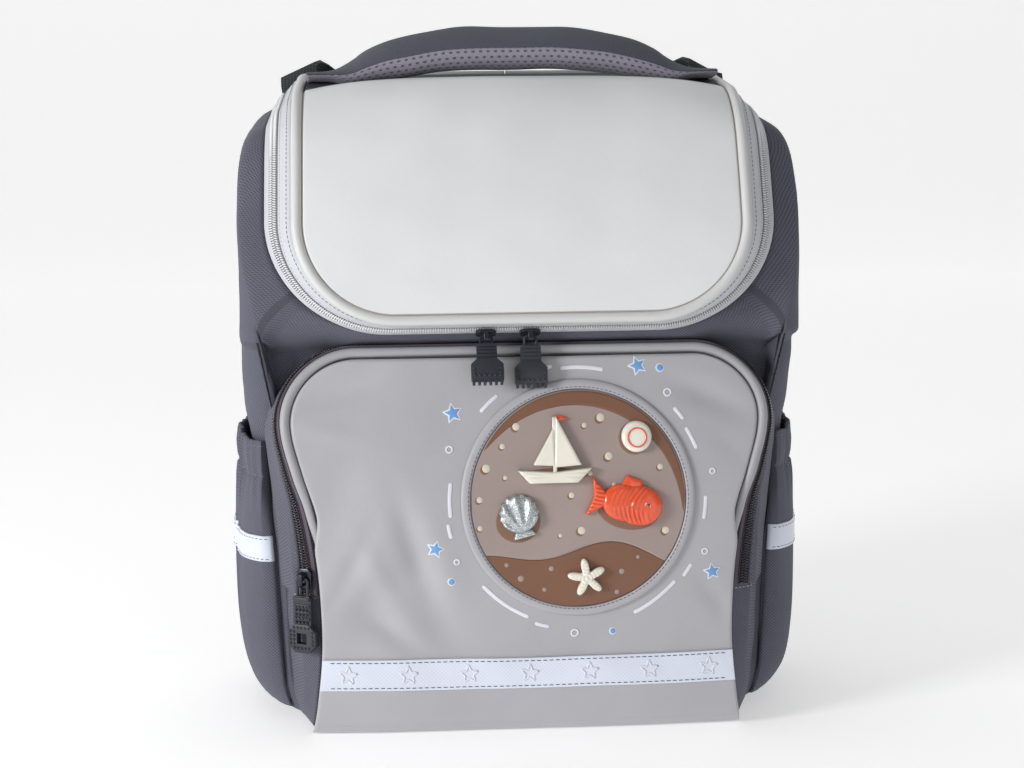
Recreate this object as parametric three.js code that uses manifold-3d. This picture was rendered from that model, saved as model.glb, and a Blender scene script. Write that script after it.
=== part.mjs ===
// A child's school backpack with a stiff front-opening lid, a zipped front pocket, two gathered side
// pockets, a padded top handle and two shoulder straps. It stands on its base.
// Millimetres: X runs to the right as the bag is seen from its front, Y towards its back, Z up.
// The origin is on the floor, in the middle of the main compartment.
import * as THREE from "three";
import { mergeVertices } from "three/addons/utils/BufferGeometryUtils.js";
import Module from "manifold-3d";

const wasm = await Module();
wasm.setup();

// Driving dimensions: the main compartment
const bagHeight = 361; // floor to the lid's back edge
const bagWidth = 309; // across the sides at their fullest
const bodyDepth = 120; // front wall to back wall
const clothWall = 2.6; // padded cloth of the body
const pieceGap = 0.3; // between pieces that touch
const baseFrontCorner = 30; // plan radius of the body's front corners
const baseBackCorner = 16; // plan radius of the body's back corners
const sideBulge = 2; // how far the sides swell between their corners
const mouthRim = 9; // cloth turned in round the mouth under the lid
const ledgeHeight = 10; // the front wall leans forward to the lid over this height
const hingeInset = 0.45; // how far the lid's hinge stops short of the side, as a share of the back corner
const hingeRound = 1.5; // how far its ends turn in

// The lid, whose profile is two arcs and a line from its lower edge to the back
const lidReach = 32; // the top's flat part ends this far short of the body's depth
const lidTopRun = bodyDepth - lidReach; // length of the nearly flat top
const lidTopSlope = 5; // degrees, rising to the back
const lidBrowRadius = 52;
const lidBrowSlope = 64; // degrees, where the brow meets the face
const lidFaceRadius = 310;
const lidLowSlope = 82; // degrees, at the lower edge
const lidHalfWidth = 122.5; // to the middle of the piping
const lidTaper = 3; // how much nearer the middle the piping is at the back
const lidCorner = 54; // radius of the lower corners
const lidBackCorner = 12;
const lidDepth = 22; // the zipped side of the lid, square to its face
const lidSideFlare = 0.88; // how far the zipped side spreads for each millimetre of depth
const lidLowFlare = 0.35; // the same along the lower edge
const lidWall = 2.4; // coated sheet on a stiffener
const lidCrown = 4; // how far the face swells
const lidTopCrown = 7; // swell of the top along its seam
const lidSeamFall = 13; // behind the seam the cloth falls flat over this length
const lidEdgeDrop = 1.5; // the sheet's edge below the piping's top
const lidPipingRadius = 2.9;
const topSeam = 2; // the coated face ends this far past the brow

// Zips and their sliders
const tapeWall = 1.6;
const lidTapeTuck = 0.7; // the tape starts this far above the piping's foot, beside it
const lidTapeStart = 2 * lidPipingRadius - lidTapeTuck;
const lidTapeWidth = 6.9; // the tape between the piping and the chain
const lidChainWidth = 5;
const lidChainHeight = 2.2;
const sliderLength = 11; // along the zip
const sliderWidth = 9;
const sliderPlate = 1.6;
const archLength = 7.4;
const archHeight = 4.6;
const archWidth = 2.6;
const archBar = 1.5;
const sliderPairGap = 24; // between the two sliders of the lid
const sliderPairCentre = -9; // where they meet, across the bag

// Rubber pulls
const pullWireRadius = 0.9; // the eye that hangs in the slider's arch
const pullEyeWidth = 6.4;
const lidPullEye = 5.8; // length of the eye above the strap
const pocketPullEye = 10.5;
const pullThickness = 4.4;
const pullStrapWidth = 11;
const pullRibs = 4;
const pullRibLift = 0.9;
const lidPullStrap = 8;
const lidPullWidth = 17.5;
const lidPullBlock = 12;
const pullTeeth = 6;
const pullToothLength = 2.2;
const lidPullTilts = [34, 14]; // degrees forward of the vertical, where each lies on the pocket
const pocketPullStrap = 14.5;
const pocketPullWidth = 17;
const pocketPullBlock = 16;
const pocketPullHole = 6;

// The front pocket
const pocketGap = 17; // between the pocket's top and the lid's lower edge
const pocketSideInset = 20.9; // from the bag's side to the pocket's widest place
const pocketHalfWidth = bagWidth / 2 - pocketSideInset; // over the piping
const pocketDepth = 46; // from the body's front wall to the belly
const pocketCorner = 42;
const pocketFootCorner = 7;
const pocketWall = 2;
const pocketPipingRadius = 2.6;
const pocketPipingTuck = 3.5; // how far the piping slips behind the panel's edge lower down
const pocketTuckFoot = 104; // the panel's edge covers it below this height
const pocketTuckTop = 148; // and it stands proud above this one
const pocketEdgeFall = 7; // how far the panel's sides fall back from its middle
const pocketSheetDrop = 1; // the sheet behind the piping's front
const pocketSheetMargin = 0.8; // the tucked sheet's edge inside the pocket's outline
const pocketZipFoot = 80; // the zip and its flap end here on both sides
const pocketZipBand = 12.5; // from the piping to where the side turns back to the body
const pocketChainSetback = 3; // from the piping to the chain
const pocketChainWidth = 5.6;
const pocketChainHeight = 2.4;
const flapThickness = 1.8;
const pocketSliderHeight = 90; // of the slider above the floor

// Trim on the pocket
const bandFoot = 28.5;
const bandHeight = 17.5;
const bandThickness = 0.9;
const badgeX = 27.5;
const badgeRise = 0.5161; // of its middle, as a share of the sheet above the band
const badgeSpread = 0.3797; // its radius, as a share of the same
const badgeRimWidth = 5;
const badgeThickness = 1.3;
const sewnSeat = 0.5; // clearance behind what is sewn on the curved sheet
const motifLift = 4.5;

// Side pockets
const sidePocketTop = 160;
const sidePocketFoot = 6;
const sidePocketBulge = 9;
const sidePocketWall = 2;
const sidePocketMargin = 4; // from the front pocket's side to the side pocket's front edge
const hemWidth = 20; // the elastic's casing
const gatherDepth = 2.2; // ruffles under the elastic
const gatherCount = 3.5;
const sideBandFoot = 92;
const sideBandHeight = 14;
const sideBandThickness = 0.8;

// The handle
const handleEndInset = 6.5; // from the lid piping's middle to the handle's end
const handleHalfLength = lidHalfWidth - handleEndInset;
const handleWidth = 40;
const handleThickness = 18;
const handleEndThickness = 4.5;
const handleRise = 9.5; // the gap below the middle of the handle
const handleTilt = 20; // degrees, front edge down
const handleSetback = 29; // from the seam on top of the lid to the handle's middle line

// The back, the shoulder straps and their webbing
const backPanelThickness = 10;
const backPanelHalfWidth = 104;
const backPanelFoot = 14;
const backPanelTop = 345;
const backPanelCorner = 34;
const strapWidth = 58;
const strapThickness = 10;
const strapRun = 64; // middle of a strap from the bag's middle, at the top
const strapFootRun = 94;
const strapTop = 338;
const strapLength = 236; // its drop
const strapReach = 36; // how far a strap stands off the back panel
const webWidth = 25;
const webThickness = 1.8;
const webFoot = 22;
const webFootRun = 122;
const webTail = 62;
const adjusterWidth = 34;
const adjusterHeight = 26;
const adjusterThickness = 5;
const adjusterBar = 4;
const lifterWidth = 22;
const lifterRun = 116; // from the bag's middle to where the lifter leaves the back
const lifterDrop = 31; // from the bag's top to the same place
const lifterStand = 27; // how far its loop stands off the back

const degrees = THREE.MathUtils.degToRad;
const backY = bodyDepth / 2;
const frontY = -bodyDepth / 2;
const halfWidth = bagWidth / 2;

// Colours and finishes
const paint = (color, roughness, metalness = 0) =>
  new THREE.MeshStandardMaterial({ color, roughness, metalness });
const greyCloth = paint(0x5b5b68, 0.9);
const creamSheet = paint(0xd9d9d6, 0.55);
const greySheet = paint(0xaaa8a6, 0.5);
const creamCloth = paint(0xcfd1d2, 0.85);
const darkCloth = paint(0x46464f, 0.9);
const lilacMesh = paint(0x8f8a98, 0.95);
const blackWeb = paint(0x17191c, 0.85);
const blackRubber = paint(0x24262b, 0.6);
const darkMetal = paint(0x2c2e33, 0.45, 0.6);
const reflective = paint(0xd3d8e4, 0.4);
const mauve = paint(0x9b8a87, 0.5);
const brown = paint(0x7a5846, 0.5);
const orange = paint(0xe2501f, 0.35);
const silver = paint(0xa4acac, 0.4, 0.5);
const ivory = paint(0xe6e2d2, 0.4);

const bag = new THREE.Group();

function addMesh(name, geometry, material) {
  const mesh = new THREE.Mesh(geometry, material);
  mesh.name = name;
  bag.add(mesh);
  return mesh;
}

// A closed solid through rings of equally many points, its ends capped unless it closes on itself.
function loft(rings, closed = false) {
  const count = rings[0].length;
  const points = rings.flat();
  const faces = [];
  const last = closed ? rings.length : rings.length - 1;
  for (let r = 0; r < last; r++) {
    const a = r * count;
    const b = ((r + 1) % rings.length) * count;
    for (let i = 0; i < count; i++) {
      const j = (i + 1) % count;
      faces.push(a + i, a + j, b + j, a + i, b + j, b + i);
    }
  }
  if (!closed) {
    cap(rings[0], 0, faces, false);
    cap(rings[rings.length - 1], (rings.length - 1) * count, faces, true);
  }
  return outward(points, faces);
}

// Triangulates a ring in its own plane.
function cap(ring, start, faces, flip) {
  const normal = new THREE.Vector3();
  ring.forEach((p, i) => {
    const q = ring[(i + 1) % ring.length];
    normal.add(new THREE.Vector3().crossVectors(p, q));
  });
  normal.normalize();
  const side = new THREE.Vector3(0, 0, 1).cross(normal);
  if (side.length() < 0.1) side.set(1, 0, 0);
  side.normalize();
  const up = new THREE.Vector3().crossVectors(normal, side);
  const flat = ring.map((p) => new THREE.Vector2(p.dot(side), p.dot(up)));
  for (const [a, b, c] of THREE.ShapeUtils.triangulateShape(flat, []))
    faces.push(start + a, ...(flip ? [start + b, start + c] : [start + c, start + b]));
}

// A geometry from points and triangles, turned so that its faces point out.
function outward(points, faces) {
  let volume = 0;
  for (let i = 0; i < faces.length; i += 3) {
    const [a, b, c] = [points[faces[i]], points[faces[i + 1]], points[faces[i + 2]]];
    volume += a.dot(new THREE.Vector3().crossVectors(b, c));
  }
  if (volume < 0)
    for (let i = 0; i < faces.length; i += 3)
      [faces[i + 1], faces[i + 2]] = [faces[i + 2], faces[i + 1]];
  const geometry = new THREE.BufferGeometry();
  geometry.setFromPoints(points);
  geometry.setIndex(faces);
  return geometry;
}

function toSolid(geometry) {
  const bare = new THREE.BufferGeometry();
  bare.setAttribute("position", geometry.getAttribute("position").clone());
  if (geometry.index) bare.setIndex(geometry.index.clone());
  const merged = mergeVertices(bare, 1e-3);
  const vertProperties = new Float32Array(merged.attributes.position.array);
  const triVerts = new Uint32Array(merged.index.array);
  return new wasm.Manifold(new wasm.Mesh({ numProp: 3, vertProperties, triVerts }));
}

function toGeometry(solid) {
  const mesh = solid.getMesh();
  const position = new THREE.BufferAttribute(new Float32Array(mesh.vertProperties), 3);
  const geometry = new THREE.BufferGeometry().setAttribute("position", position);
  return geometry.setIndex(new THREE.BufferAttribute(new Uint32Array(mesh.triVerts), 1));
}

const cut = (geometry, ...tools) =>
  toGeometry(tools.reduce((solid, tool) => solid.subtract(toSolid(tool)), toSolid(geometry)));
const join = (...geometries) =>
  toGeometry(geometries.map(toSolid).reduce((a, b) => a.add(b)));

const point = (x, y, z) => new THREE.Vector3(x, y, z);
const steps = (from, to, count) =>
  Array.from({ length: count + 1 }, (_, i) => from + ((to - from) * i) / count);

// A column of a table at any share of its first column, smooth through its rows.
function column(table, name, share, key = "height") {
  const last = table.length - 1;
  const row = (i) => table[THREE.MathUtils.clamp(i, 0, last)];
  const slope = (i) => (row(i + 1)[name] - row(i - 1)[name]) / (row(i + 1)[key] - row(i - 1)[key]);
  let i = 0;
  while (i < last - 1 && share > table[i + 1][key]) i++;
  const span = row(i + 1)[key] - row(i)[key];
  const t = THREE.MathUtils.clamp((share - row(i)[key]) / span, 0, 1);
  const blend = t * t * (3 - 2 * t);
  const bend = span * (slope(i) * t * (1 - t) ** 2 - slope(i + 1) * t * t * (1 - t));
  return row(i)[name] * (1 - blend) + row(i + 1)[name] * blend + bend;
}

// A plate bent over a surface: for each row s it runs across from -half to half, between an outer
// and an inner height n, and place(x, s, n) puts it in the bag.
function plate({ rows, half, outer, inner, across, place }) {
  return loft(
    rows.map((s) => {
      const w = half(s);
      const xs = steps(-w, w, across);
      return [
        ...xs.map((x) => place(x, s, outer(x / w, s))),
        ...xs.reverse().map((x) => place(x, s, inner(x / w, s))),
      ];
    }),
  );
}

// A round bar through points, with frames carried along so that it doesn't twist.
function bar(path, radius, sides = 8) {
  const tangent = (i) =>
    path[Math.min(i + 1, path.length - 1)].clone().sub(path[Math.max(i - 1, 0)]).normalize();
  let side = new THREE.Vector3().crossVectors(tangent(0), point(0.31, 0.47, 0.83)).normalize();
  return loft(
    path.map((p, i) => {
      const along = tangent(i);
      side.addScaledVector(along, -side.dot(along)).normalize();
      const up = new THREE.Vector3().crossVectors(along, side);
      return Array.from({ length: sides }, (_, k) => {
        const a = (2 * Math.PI * k) / sides;
        return p.clone().addScaledVector(side, radius * Math.cos(a)).addScaledVector(up, radius * Math.sin(a));
      });
    }),
  );
}

// The lid's profile, measured along it as s from the lower edge, with n square to it, outwards.
const lidProfile = (() => {
  const [low, brow, top] = [lidLowSlope, lidBrowSlope, lidTopSlope].map(degrees);
  const faceLength = lidFaceRadius * (low - brow);
  const browLength = lidBrowRadius * (brow - top);
  const arc = (radius, from, to) => [
    radius * (Math.sin(from) - Math.sin(to)),
    radius * (Math.cos(to) - Math.cos(from)),
  ];
  const end = [backY - clothWall / 2, bagHeight];
  const browEnd = [end[0] - lidTopRun * Math.cos(top), end[1] - lidTopRun * Math.sin(top)];
  const browArc = arc(lidBrowRadius, brow, top);
  const browStart = [browEnd[0] - browArc[0], browEnd[1] - browArc[1]];
  const faceArc = arc(lidFaceRadius, low, brow);
  const start = [browStart[0] - faceArc[0], browStart[1] - faceArc[1]];
  const length = faceLength + browLength + lidTopRun;
  const seam = faceLength + browLength + topSeam;
  const at = (s) => {
    let heading = low;
    let [y, z] = start;
    if (s <= 0) return { y: y + s * Math.cos(low), z: z + s * Math.sin(low), heading };
    const first = Math.min(s, faceLength);
    heading = low - first / lidFaceRadius;
    let move = arc(lidFaceRadius, low, heading);
    [y, z] = [y + move[0], z + move[1]];
    if (s <= faceLength) return { y, z, heading };
    const second = Math.min(s - faceLength, browLength);
    heading = brow - second / lidBrowRadius;
    move = arc(lidBrowRadius, brow, heading);
    [y, z] = [y + move[0], z + move[1]];
    const rest = Math.max(0, s - faceLength - browLength);
    return { y: y + rest * Math.cos(heading), z: z + rest * Math.sin(heading), heading };
  };
  return { at, length, faceLength, browLength, seam, start };
})();

function onLid(x, s, n) {
  const { y, z, heading } = lidProfile.at(s);
  return point(x, y - n * Math.sin(heading), z + n * Math.cos(heading));
}

// Half the lid's width at s, for an outline that lies depth below the face and spreads with it.
function lidHalf(s, depth, inset = 0) {
  const half = lidHalfWidth + lidSideFlare * depth - inset - (lidTaper * s) / lidProfile.length;
  const low = -lidLowFlare * depth + inset;
  const radius = lidCorner + ((lidSideFlare + lidLowFlare) * depth) / 2 - inset;
  const above = Math.max(0, radius - (s - low));
  return half - radius + Math.sqrt(Math.max(0, radius * radius - above * above));
}

const lidRows = (depth, inset, end) => {
  const low = -lidLowFlare * depth + inset;
  const radius = lidCorner + ((lidSideFlare + lidLowFlare) * depth) / 2 - inset;
  const corner = steps(0, 90, 6).map((a) => low + radius * (1 - Math.cos(degrees(a))));
  const marks = [
    ...corner,
    (corner[6] + lidProfile.faceLength) / 2,
    ...steps(lidProfile.faceLength, lidProfile.faceLength + lidProfile.browLength, 6),
    end,
  ];
  return marks.filter((s, i) => s <= end && (i === marks.length - 1 || s < end - 1));
};

// The lid's outline in (x, s) from the left back end, down round the lower edge, to the right back end.
const lidPath = (() => {
  const turns = 6;
  const back = (depth) => lidProfile.length - depth * Math.tan(degrees(lidTopSlope)) - pieceGap;
  const browTop = lidProfile.faceLength + lidProfile.browLength;
  const at = (depth) => {
    const radius = lidCorner + ((lidSideFlare + lidLowFlare) * depth) / 2;
    const low = -lidLowFlare * depth;
    const sides = [back(depth), browTop, ...steps(browTop, lidProfile.faceLength, 6).slice(1)];
    sides.push((lidProfile.faceLength + low + radius) / 2, low + radius);
    const left = sides.map((s) => ({ x: -lidHalf(s, depth), s, outX: -1, outS: 0 }));
    const centre = -(lidHalf(low + radius, depth) - radius);
    for (let k = 1; k <= turns; k++) {
      const a = (Math.PI / 2) * (k / turns);
      left.push({
        x: centre - radius * Math.cos(a),
        s: low + radius * (1 - Math.sin(a)),
        outX: -Math.cos(a),
        outS: -Math.sin(a),
      });
    }
    const right = left.map((p) => ({ ...p, x: -p.x, outX: -p.outX })).reverse();
    return [...left, { x: 0, s: low, outX: 0, outS: -1 }, ...right];
  };
  return { at };
})();

// A point of the lid's zipped side: depth below the face, lift out of the side's own surface.
function lidSide(index, depth, lift) {
  const p = lidPath.at(depth)[index];
  const flare = lidSideFlare * Math.abs(p.outX) + lidLowFlare * Math.abs(p.outS);
  const out = lift / Math.hypot(1, flare);
  return onLid(p.x + p.outX * out, p.s + p.outS * out, -depth + flare * out);
}

function lidStrip(fromDepth, toDepth, fromLift, toLift) {
  return loft(
    lidPath.at(0).map((_, i) => [
      lidSide(i, fromDepth, toLift),
      lidSide(i, toDepth, toLift),
      lidSide(i, toDepth, fromLift),
      lidSide(i, fromDepth, fromLift),
    ]),
  );
}

// The body's plan sections: height as a share of the bag's height, half width as a share of half the
// bag's width, the corner's radius as a share of the front corners', and how far the front wall is set
// back under the pocket, as a share of the lid's overhang.
const bodyTable = [
  { height: 0, width: 0.84, corner: 0.75, back: 0.45 },
  { height: 0.012, width: 0.885, corner: 0.85, back: 0.25 },
  { height: 0.03, width: 0.93, corner: 1, back: 0.1 },
  { height: 0.065, width: 0.958, corner: 1, back: 0 },
  { height: 0.12, width: 0.968, corner: 1, back: 0 },
  { height: 0.25, width: 0.97, corner: 1, back: 0 },
  { height: 0.38, width: 0.968, corner: 1, back: 0 },
  { height: 0.44, width: 0.972, corner: 1, back: 0 },
  { height: 0.49, width: 0.994, corner: 1, back: 0 },
  { height: 0.6, width: 0.999, corner: 0.6, back: 0 },
  { height: 0.66, width: 1, corner: 0.5, back: 0 },
  { height: 0.76, width: 0.998, corner: 0.5, back: 0 },
  { height: 0.835, width: 0.992, corner: 0.5, back: 0 },
  { height: 0.885, width: 0.976, corner: 0.5, back: 0 },
  { height: 0.93, width: 0.938, corner: 0.5, back: 0 },
  { height: 0.96, width: 0.895, corner: 0.5, back: 0 },
  { height: 0.99, width: 0.84, corner: 0.5, back: 0 },
];
const rimLow = onLid(0, -lidLowFlare * lidDepth, -lidDepth);
const ledgeTop = rimLow.z - 1;
const ledgeFoot = ledgeTop - ledgeHeight;
const overhang = frontY - rimLow.y;

// Heights of the body's sections, with those that the side pockets and their bands start and end at.
const bodyLevels = (() => {
  const own = bodyTable
    .map((row) => row.height * bagHeight)
    .filter((z) => z < ledgeFoot - 4 || z > ledgeTop + 4);
  const marks = [sidePocketFoot, sideBandFoot, sideBandFoot + sideBandHeight];
  marks.push(sidePocketTop - hemWidth, sidePocketTop, ledgeFoot, ledgeTop);
  const apart = own.filter((z) => marks.every((mark) => Math.abs(z - mark) > 2));
  return [...apart, ...marks].sort((a, b) => a - b);
})();

function bodyRow(z, grow = 0) {
  const share = z / bagHeight;
  const under = z < ledgeTop - 0.5;
  const wall = under ? frontY + column(bodyTable, "back", share) * overhang : rimLow.y;
  return {
    z,
    half: column(bodyTable, "width", share) * halfWidth + grow,
    front: wall - grow,
    back: backY + grow,
    corner: (under ? Math.max(column(bodyTable, "corner", share), 0.75) : 0.6) * baseFrontCorner + grow,
    backCorner: baseBackCorner + grow,
  };
}

const bodyRows = (grow) =>
  bodyLevels.map((z, i) => ({ ...bodyRow(z, grow), z: i === 0 ? z - grow : z }));

const frontTurns = 4;
const backTurns = 2;
const sideMarks = [0.25, 0.5, 0.75];

// One plan section, from the left side's front end round the front, the right side and the back.
function bodySection(row) {
  const points = [];
  const arc = (cx, cy, radius, from, to, turns) => {
    for (const a of steps(from, to, turns))
      points.push(point(cx + radius * Math.cos(degrees(a)), cy + radius * Math.sin(degrees(a)), row.z));
  };
  const side = (sign, from, to) => {
    for (const t of sideMarks)
      points.push(
        point(sign * (row.half + sideBulge * (1 - (2 * t - 1) ** 2)), from + (to - from) * t, row.z),
      );
  };
  const { half, front, back, corner, backCorner } = row;
  arc(-half + corner, front + corner, corner, 180, 270, frontTurns);
  points.push(point(0, front, row.z));
  arc(half - corner, front + corner, corner, 270, 360, frontTurns);
  side(1, front + corner, back - backCorner);
  arc(half - backCorner, back - backCorner, backCorner, 0, 90, backTurns);
  arc(-half + backCorner, back - backCorner, backCorner, 90, 180, backTurns);
  side(-1, back - backCorner, front + corner);
  return points;
}

const bodyOuter = (grow) => loft(bodyRows(grow).map(bodySection));

// Everything outside the lid's underside, as a slab to cut the body with.
function aboveLid(depth) {
  const wide = bagWidth;
  const reach = bagHeight;
  const end = lidProfile.length + reach;
  const rows = [-reach, 0, ...steps(0, lidProfile.faceLength, 3).slice(1)];
  rows.push(...steps(lidProfile.faceLength, lidProfile.faceLength + lidProfile.browLength, 6).slice(1), end);
  return plate({
    rows,
    half: () => wide,
    outer: () => reach,
    inner: () => -depth,
    across: 1,
    place: onLid,
  });
}

function makeBody() {
  const rows = bodyRows(-clothWall);
  const inside = rows.filter((_, i) => i % 3 === 0 || i === rows.length - 1);
  const hollow = cut(loft(inside.map(bodySection)), aboveLid(lidDepth + clothWall));
  const mouth = plate({
    rows: lidRows(lidDepth, mouthRim, lidProfile.length - mouthRim),
    half: (s) => lidHalf(s, lidDepth, mouthRim),
    outer: () => -lidDepth + clothWall,
    inner: () => -lidDepth - 2 * clothWall,
    across: 1,
    place: onLid,
  });
  addMesh("body_shell", cut(bodyOuter(0), aboveLid(lidDepth), hollow, mouth), greyCloth);
}

function makeLid() {
  const inset = lidPipingRadius + 2 * pieceGap;
  const { seam } = lidProfile;
  const topSwell = (u, s) => {
    const ahead = THREE.MathUtils.smoothstep(s, lidProfile.faceLength, seam);
    const behind = THREE.MathUtils.smoothstep(s, seam, seam + lidSeamFall);
    return (ahead - behind) * (1 - u ** 4);
  };
  const face = (depth) => (u, s) => {
    const rise = Math.max(0, Math.sin((Math.PI * s) / seam));
    return lidCrown * rise * (1 - u * u) + lidTopCrown * topSwell(u, s) - lidEdgeDrop - depth;
  };
  const half = (s) => lidHalf(s, 0, inset);
  addMesh(
    "lid_front_panel",
    plate({
      rows: lidRows(0, inset, seam - pieceGap / 2),
      half,
      outer: face(0),
      inner: face(lidWall),
      across: 6,
      place: onLid,
    }),
    creamSheet,
  );
  const backEnd = lidProfile.length - 2 * lidPipingRadius - 2 * pieceGap;
  const turn = lidBackCorner - inset;
  const corner = steps(90, 0, 3).map((a) => backEnd - turn * (1 - Math.sin(degrees(a)))).reverse();
  addMesh(
    "lid_top_panel",
    plate({
      rows: [seam + pieceGap / 2, seam + lidSeamFall / 3, seam + (2 * lidSeamFall) / 3, seam + lidSeamFall, ...corner],
      half: (s) => {
        const past = THREE.MathUtils.clamp(s - backEnd + turn, 0, turn);
        return half(s) - turn + Math.sqrt(turn * turn - past * past);
      },
      outer: face(0),
      inner: face(lidWall),
      across: 6,
      place: onLid,
    }),
    greyCloth,
  );
  addMesh("lid_piping", makeLidPiping(), creamSheet);
  addMesh("lid_hinge_strip", makeHingeStrip(), greyCloth);
  const chainStart = lidTapeStart + lidTapeWidth;
  const chainEnd = chainStart + lidChainWidth;
  addMesh("lid_zip_tape", lidStrip(lidTapeStart, chainStart - pieceGap, -tapeWall, 0), creamCloth);
  addMesh(
    "lid_zip_chain",
    lidStrip(chainStart, chainEnd, -lidChainHeight / 2, lidChainHeight / 2),
    creamCloth,
  );
  const tapeEnd = lidDepth - 2 * pieceGap - (lidSideFlare * tapeWall) / Math.hypot(1, lidSideFlare);
  addMesh("body_zip_tape", lidStrip(chainEnd + pieceGap, tapeEnd, -tapeWall, 0), creamCloth);
}

// The cloth that hinges the lid: from the back wall's top up to the piping, between the zip's ends.
function makeHingeStrip() {
  const last = lidPath.at(0).length - 1;
  const [high, low] = [lidTapeStart, lidDepth].map((depth) => lidSide(last, depth, -tapeWall));
  const pipingLine = lidProfile.length - lidPipingRadius - pieceGap;
  const top = onLid(0, pipingLine, -2 * lidPipingRadius).z - pieceGap;
  const foot = onLid(0, lidProfile.length, -lidDepth).z + 2 * pieceGap;
  const half = (z) => {
    const zipEnd = high.x + ((low.x - high.x) * (high.z - z)) / (high.z - low.z);
    return Math.min(bodyRow(z).half - hingeInset * baseBackCorner, zipEnd - 2 * pieceGap);
  };
  return plate({
    rows: [foot, (foot + top) / 2, top],
    half,
    outer: (u) => -hingeRound * u ** 16,
    inner: () => -clothWall,
    across: 12,
    place: (x, z, n) => point(x, backY + n, z),
  });
}

// Round the lid, along its back edge too, where the two ends meet in the middle.
function makeLidPiping() {
  const path = lidPath.at(0).slice(1, -1);
  const back = lidProfile.length - lidPipingRadius - pieceGap;
  const turn = (sign) =>
    steps(0, 90, 4).map((a) => ({
      x: sign * (lidHalf(back, 0) - lidBackCorner * (1 - Math.cos(degrees(a)))),
      s: back - lidBackCorner * (1 - Math.sin(degrees(a))),
    }));
  const right = [...turn(1), { x: pieceGap, s: back }];
  const left = [...turn(-1), { x: -pieceGap, s: back }].reverse();
  const route = [...left, ...path, ...right];
  return bar(
    route.map((p) => onLid(p.x, p.s, -lidPipingRadius)),
    lidPipingRadius,
    6,
  );
}

// The front pocket: heights as shares of its height; half widths, as shares of its half width, at the
// panel's edge, past the zip and at the body; and the depth of its front.
const pocketTable = [
  { height: 0, edge: 0.9, middle: 0.915, body: 0.93, depth: 0.62 },
  { height: 0.035, edge: 0.888, middle: 0.918, body: 0.95, depth: 0.83 },
  { height: 0.09, edge: 0.873, middle: 0.922, body: 0.97, depth: 0.92 },
  { height: 0.235, edge: 0.85, middle: 0.93, body: 0.985, depth: 0.98 },
  { height: 0.39, edge: 0.855, middle: 0.938, body: 0.995, depth: 1 },
  { height: 0.5, edge: 0.873, middle: 0.948, body: 1.005, depth: 1 },
  { height: 0.6, edge: 0.905, middle: 0.965, body: 1.02, depth: 0.97 },
  { height: 0.69, edge: 0.952, middle: 0.99, body: 1.035, depth: 0.91 },
  { height: 0.8, edge: 0.995, middle: 1.018, body: 1.05, depth: 0.8 },
  { height: 1, edge: 1, middle: 1.025, body: 1.05, depth: 0.52 },
];

// Soft dents in the pocket's sheet: place, reach and depth as shares of the pocket's half width,
// height, half width and depth, and the turn of the dent's long side, in degrees.
const dentTable = [
  { across: -0.62, up: 0.36, long: 0.22, short: 0.09, depth: 0.055, turn: 38 },
  { across: -0.36, up: 0.33, long: 0.2, short: 0.1, depth: 0.045, turn: -62 },
  { across: -0.8, up: 0.6, long: 0.24, short: 0.09, depth: 0.04, turn: 68 },
  { across: -0.5, up: 0.62, long: 0.3, short: 0.2, depth: -0.035, turn: 10 },
];
const pocketHeight = lidProfile.start[1] - pocketGap;
const badgeRoom = pocketHeight - bandFoot - bandHeight;
const badgeHeight = bandFoot + bandHeight + badgeRise * badgeRoom;
const badgeRadius = badgeSpread * badgeRoom;
const pocketShare = (z) => THREE.MathUtils.clamp(z / pocketHeight, 0, 1);
const pocketHalf = (z, name) => column(pocketTable, name, pocketShare(z)) * pocketHalfWidth;
const pocketFrontY = (z) => frontY - column(pocketTable, "depth", pocketShare(z)) * pocketDepth;
const pocketFall = (z) => pocketEdgeFall * Math.sin(Math.PI * (0.12 + 0.76 * pocketShare(z)));
const pocketEdgeY = (z) => pocketFrontY(z) + pocketFall(z);

function pocketDent(x, z) {
  return dentTable.reduce((sum, dent) => {
    const dx = x - dent.across * pocketHalfWidth;
    const dz = z - dent.up * pocketHeight;
    const a = degrees(dent.turn);
    const along = (dx * Math.cos(a) + dz * Math.sin(a)) / (dent.long * pocketHalfWidth);
    const over = (dz * Math.cos(a) - dx * Math.sin(a)) / (dent.short * pocketHalfWidth);
    return sum + dent.depth * pocketDepth * Math.exp(-along * along - over * over);
  }, 0);
}

// A point n behind the pocket's front surface.
function onPocket(x, z, n) {
  const across = Math.min(1, Math.abs(x) / pocketHalf(z, "edge"));
  const edge = 1 - across ** 6;
  const y = pocketFrontY(z) + pocketFall(z) * across ** 2.4 + pocketDent(x, z) * edge;
  return point(x, y + n, z);
}

const pocketTuckMiddle = (pocketTuckFoot + pocketTuckTop) / 2;
const pipingTuck = (z) =>
  pocketPipingTuck * (1 - THREE.MathUtils.smoothstep(z, pocketTuckMiddle, pocketTuckTop));
const pipingSpan = 2 * pocketPipingRadius + 2 * pieceGap;
const gussetFrontY = (z) => pocketEdgeY(z) + pipingTuck(z) + pipingSpan;

// Marks along the left half of the pocket's outline: round the foot's corner, up to the zip's end,
// up to the top corner and round it.
const footTurns = 2;
const lowMarks = 3;
const highMarks = 6;
const topTurns = 6;

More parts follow.
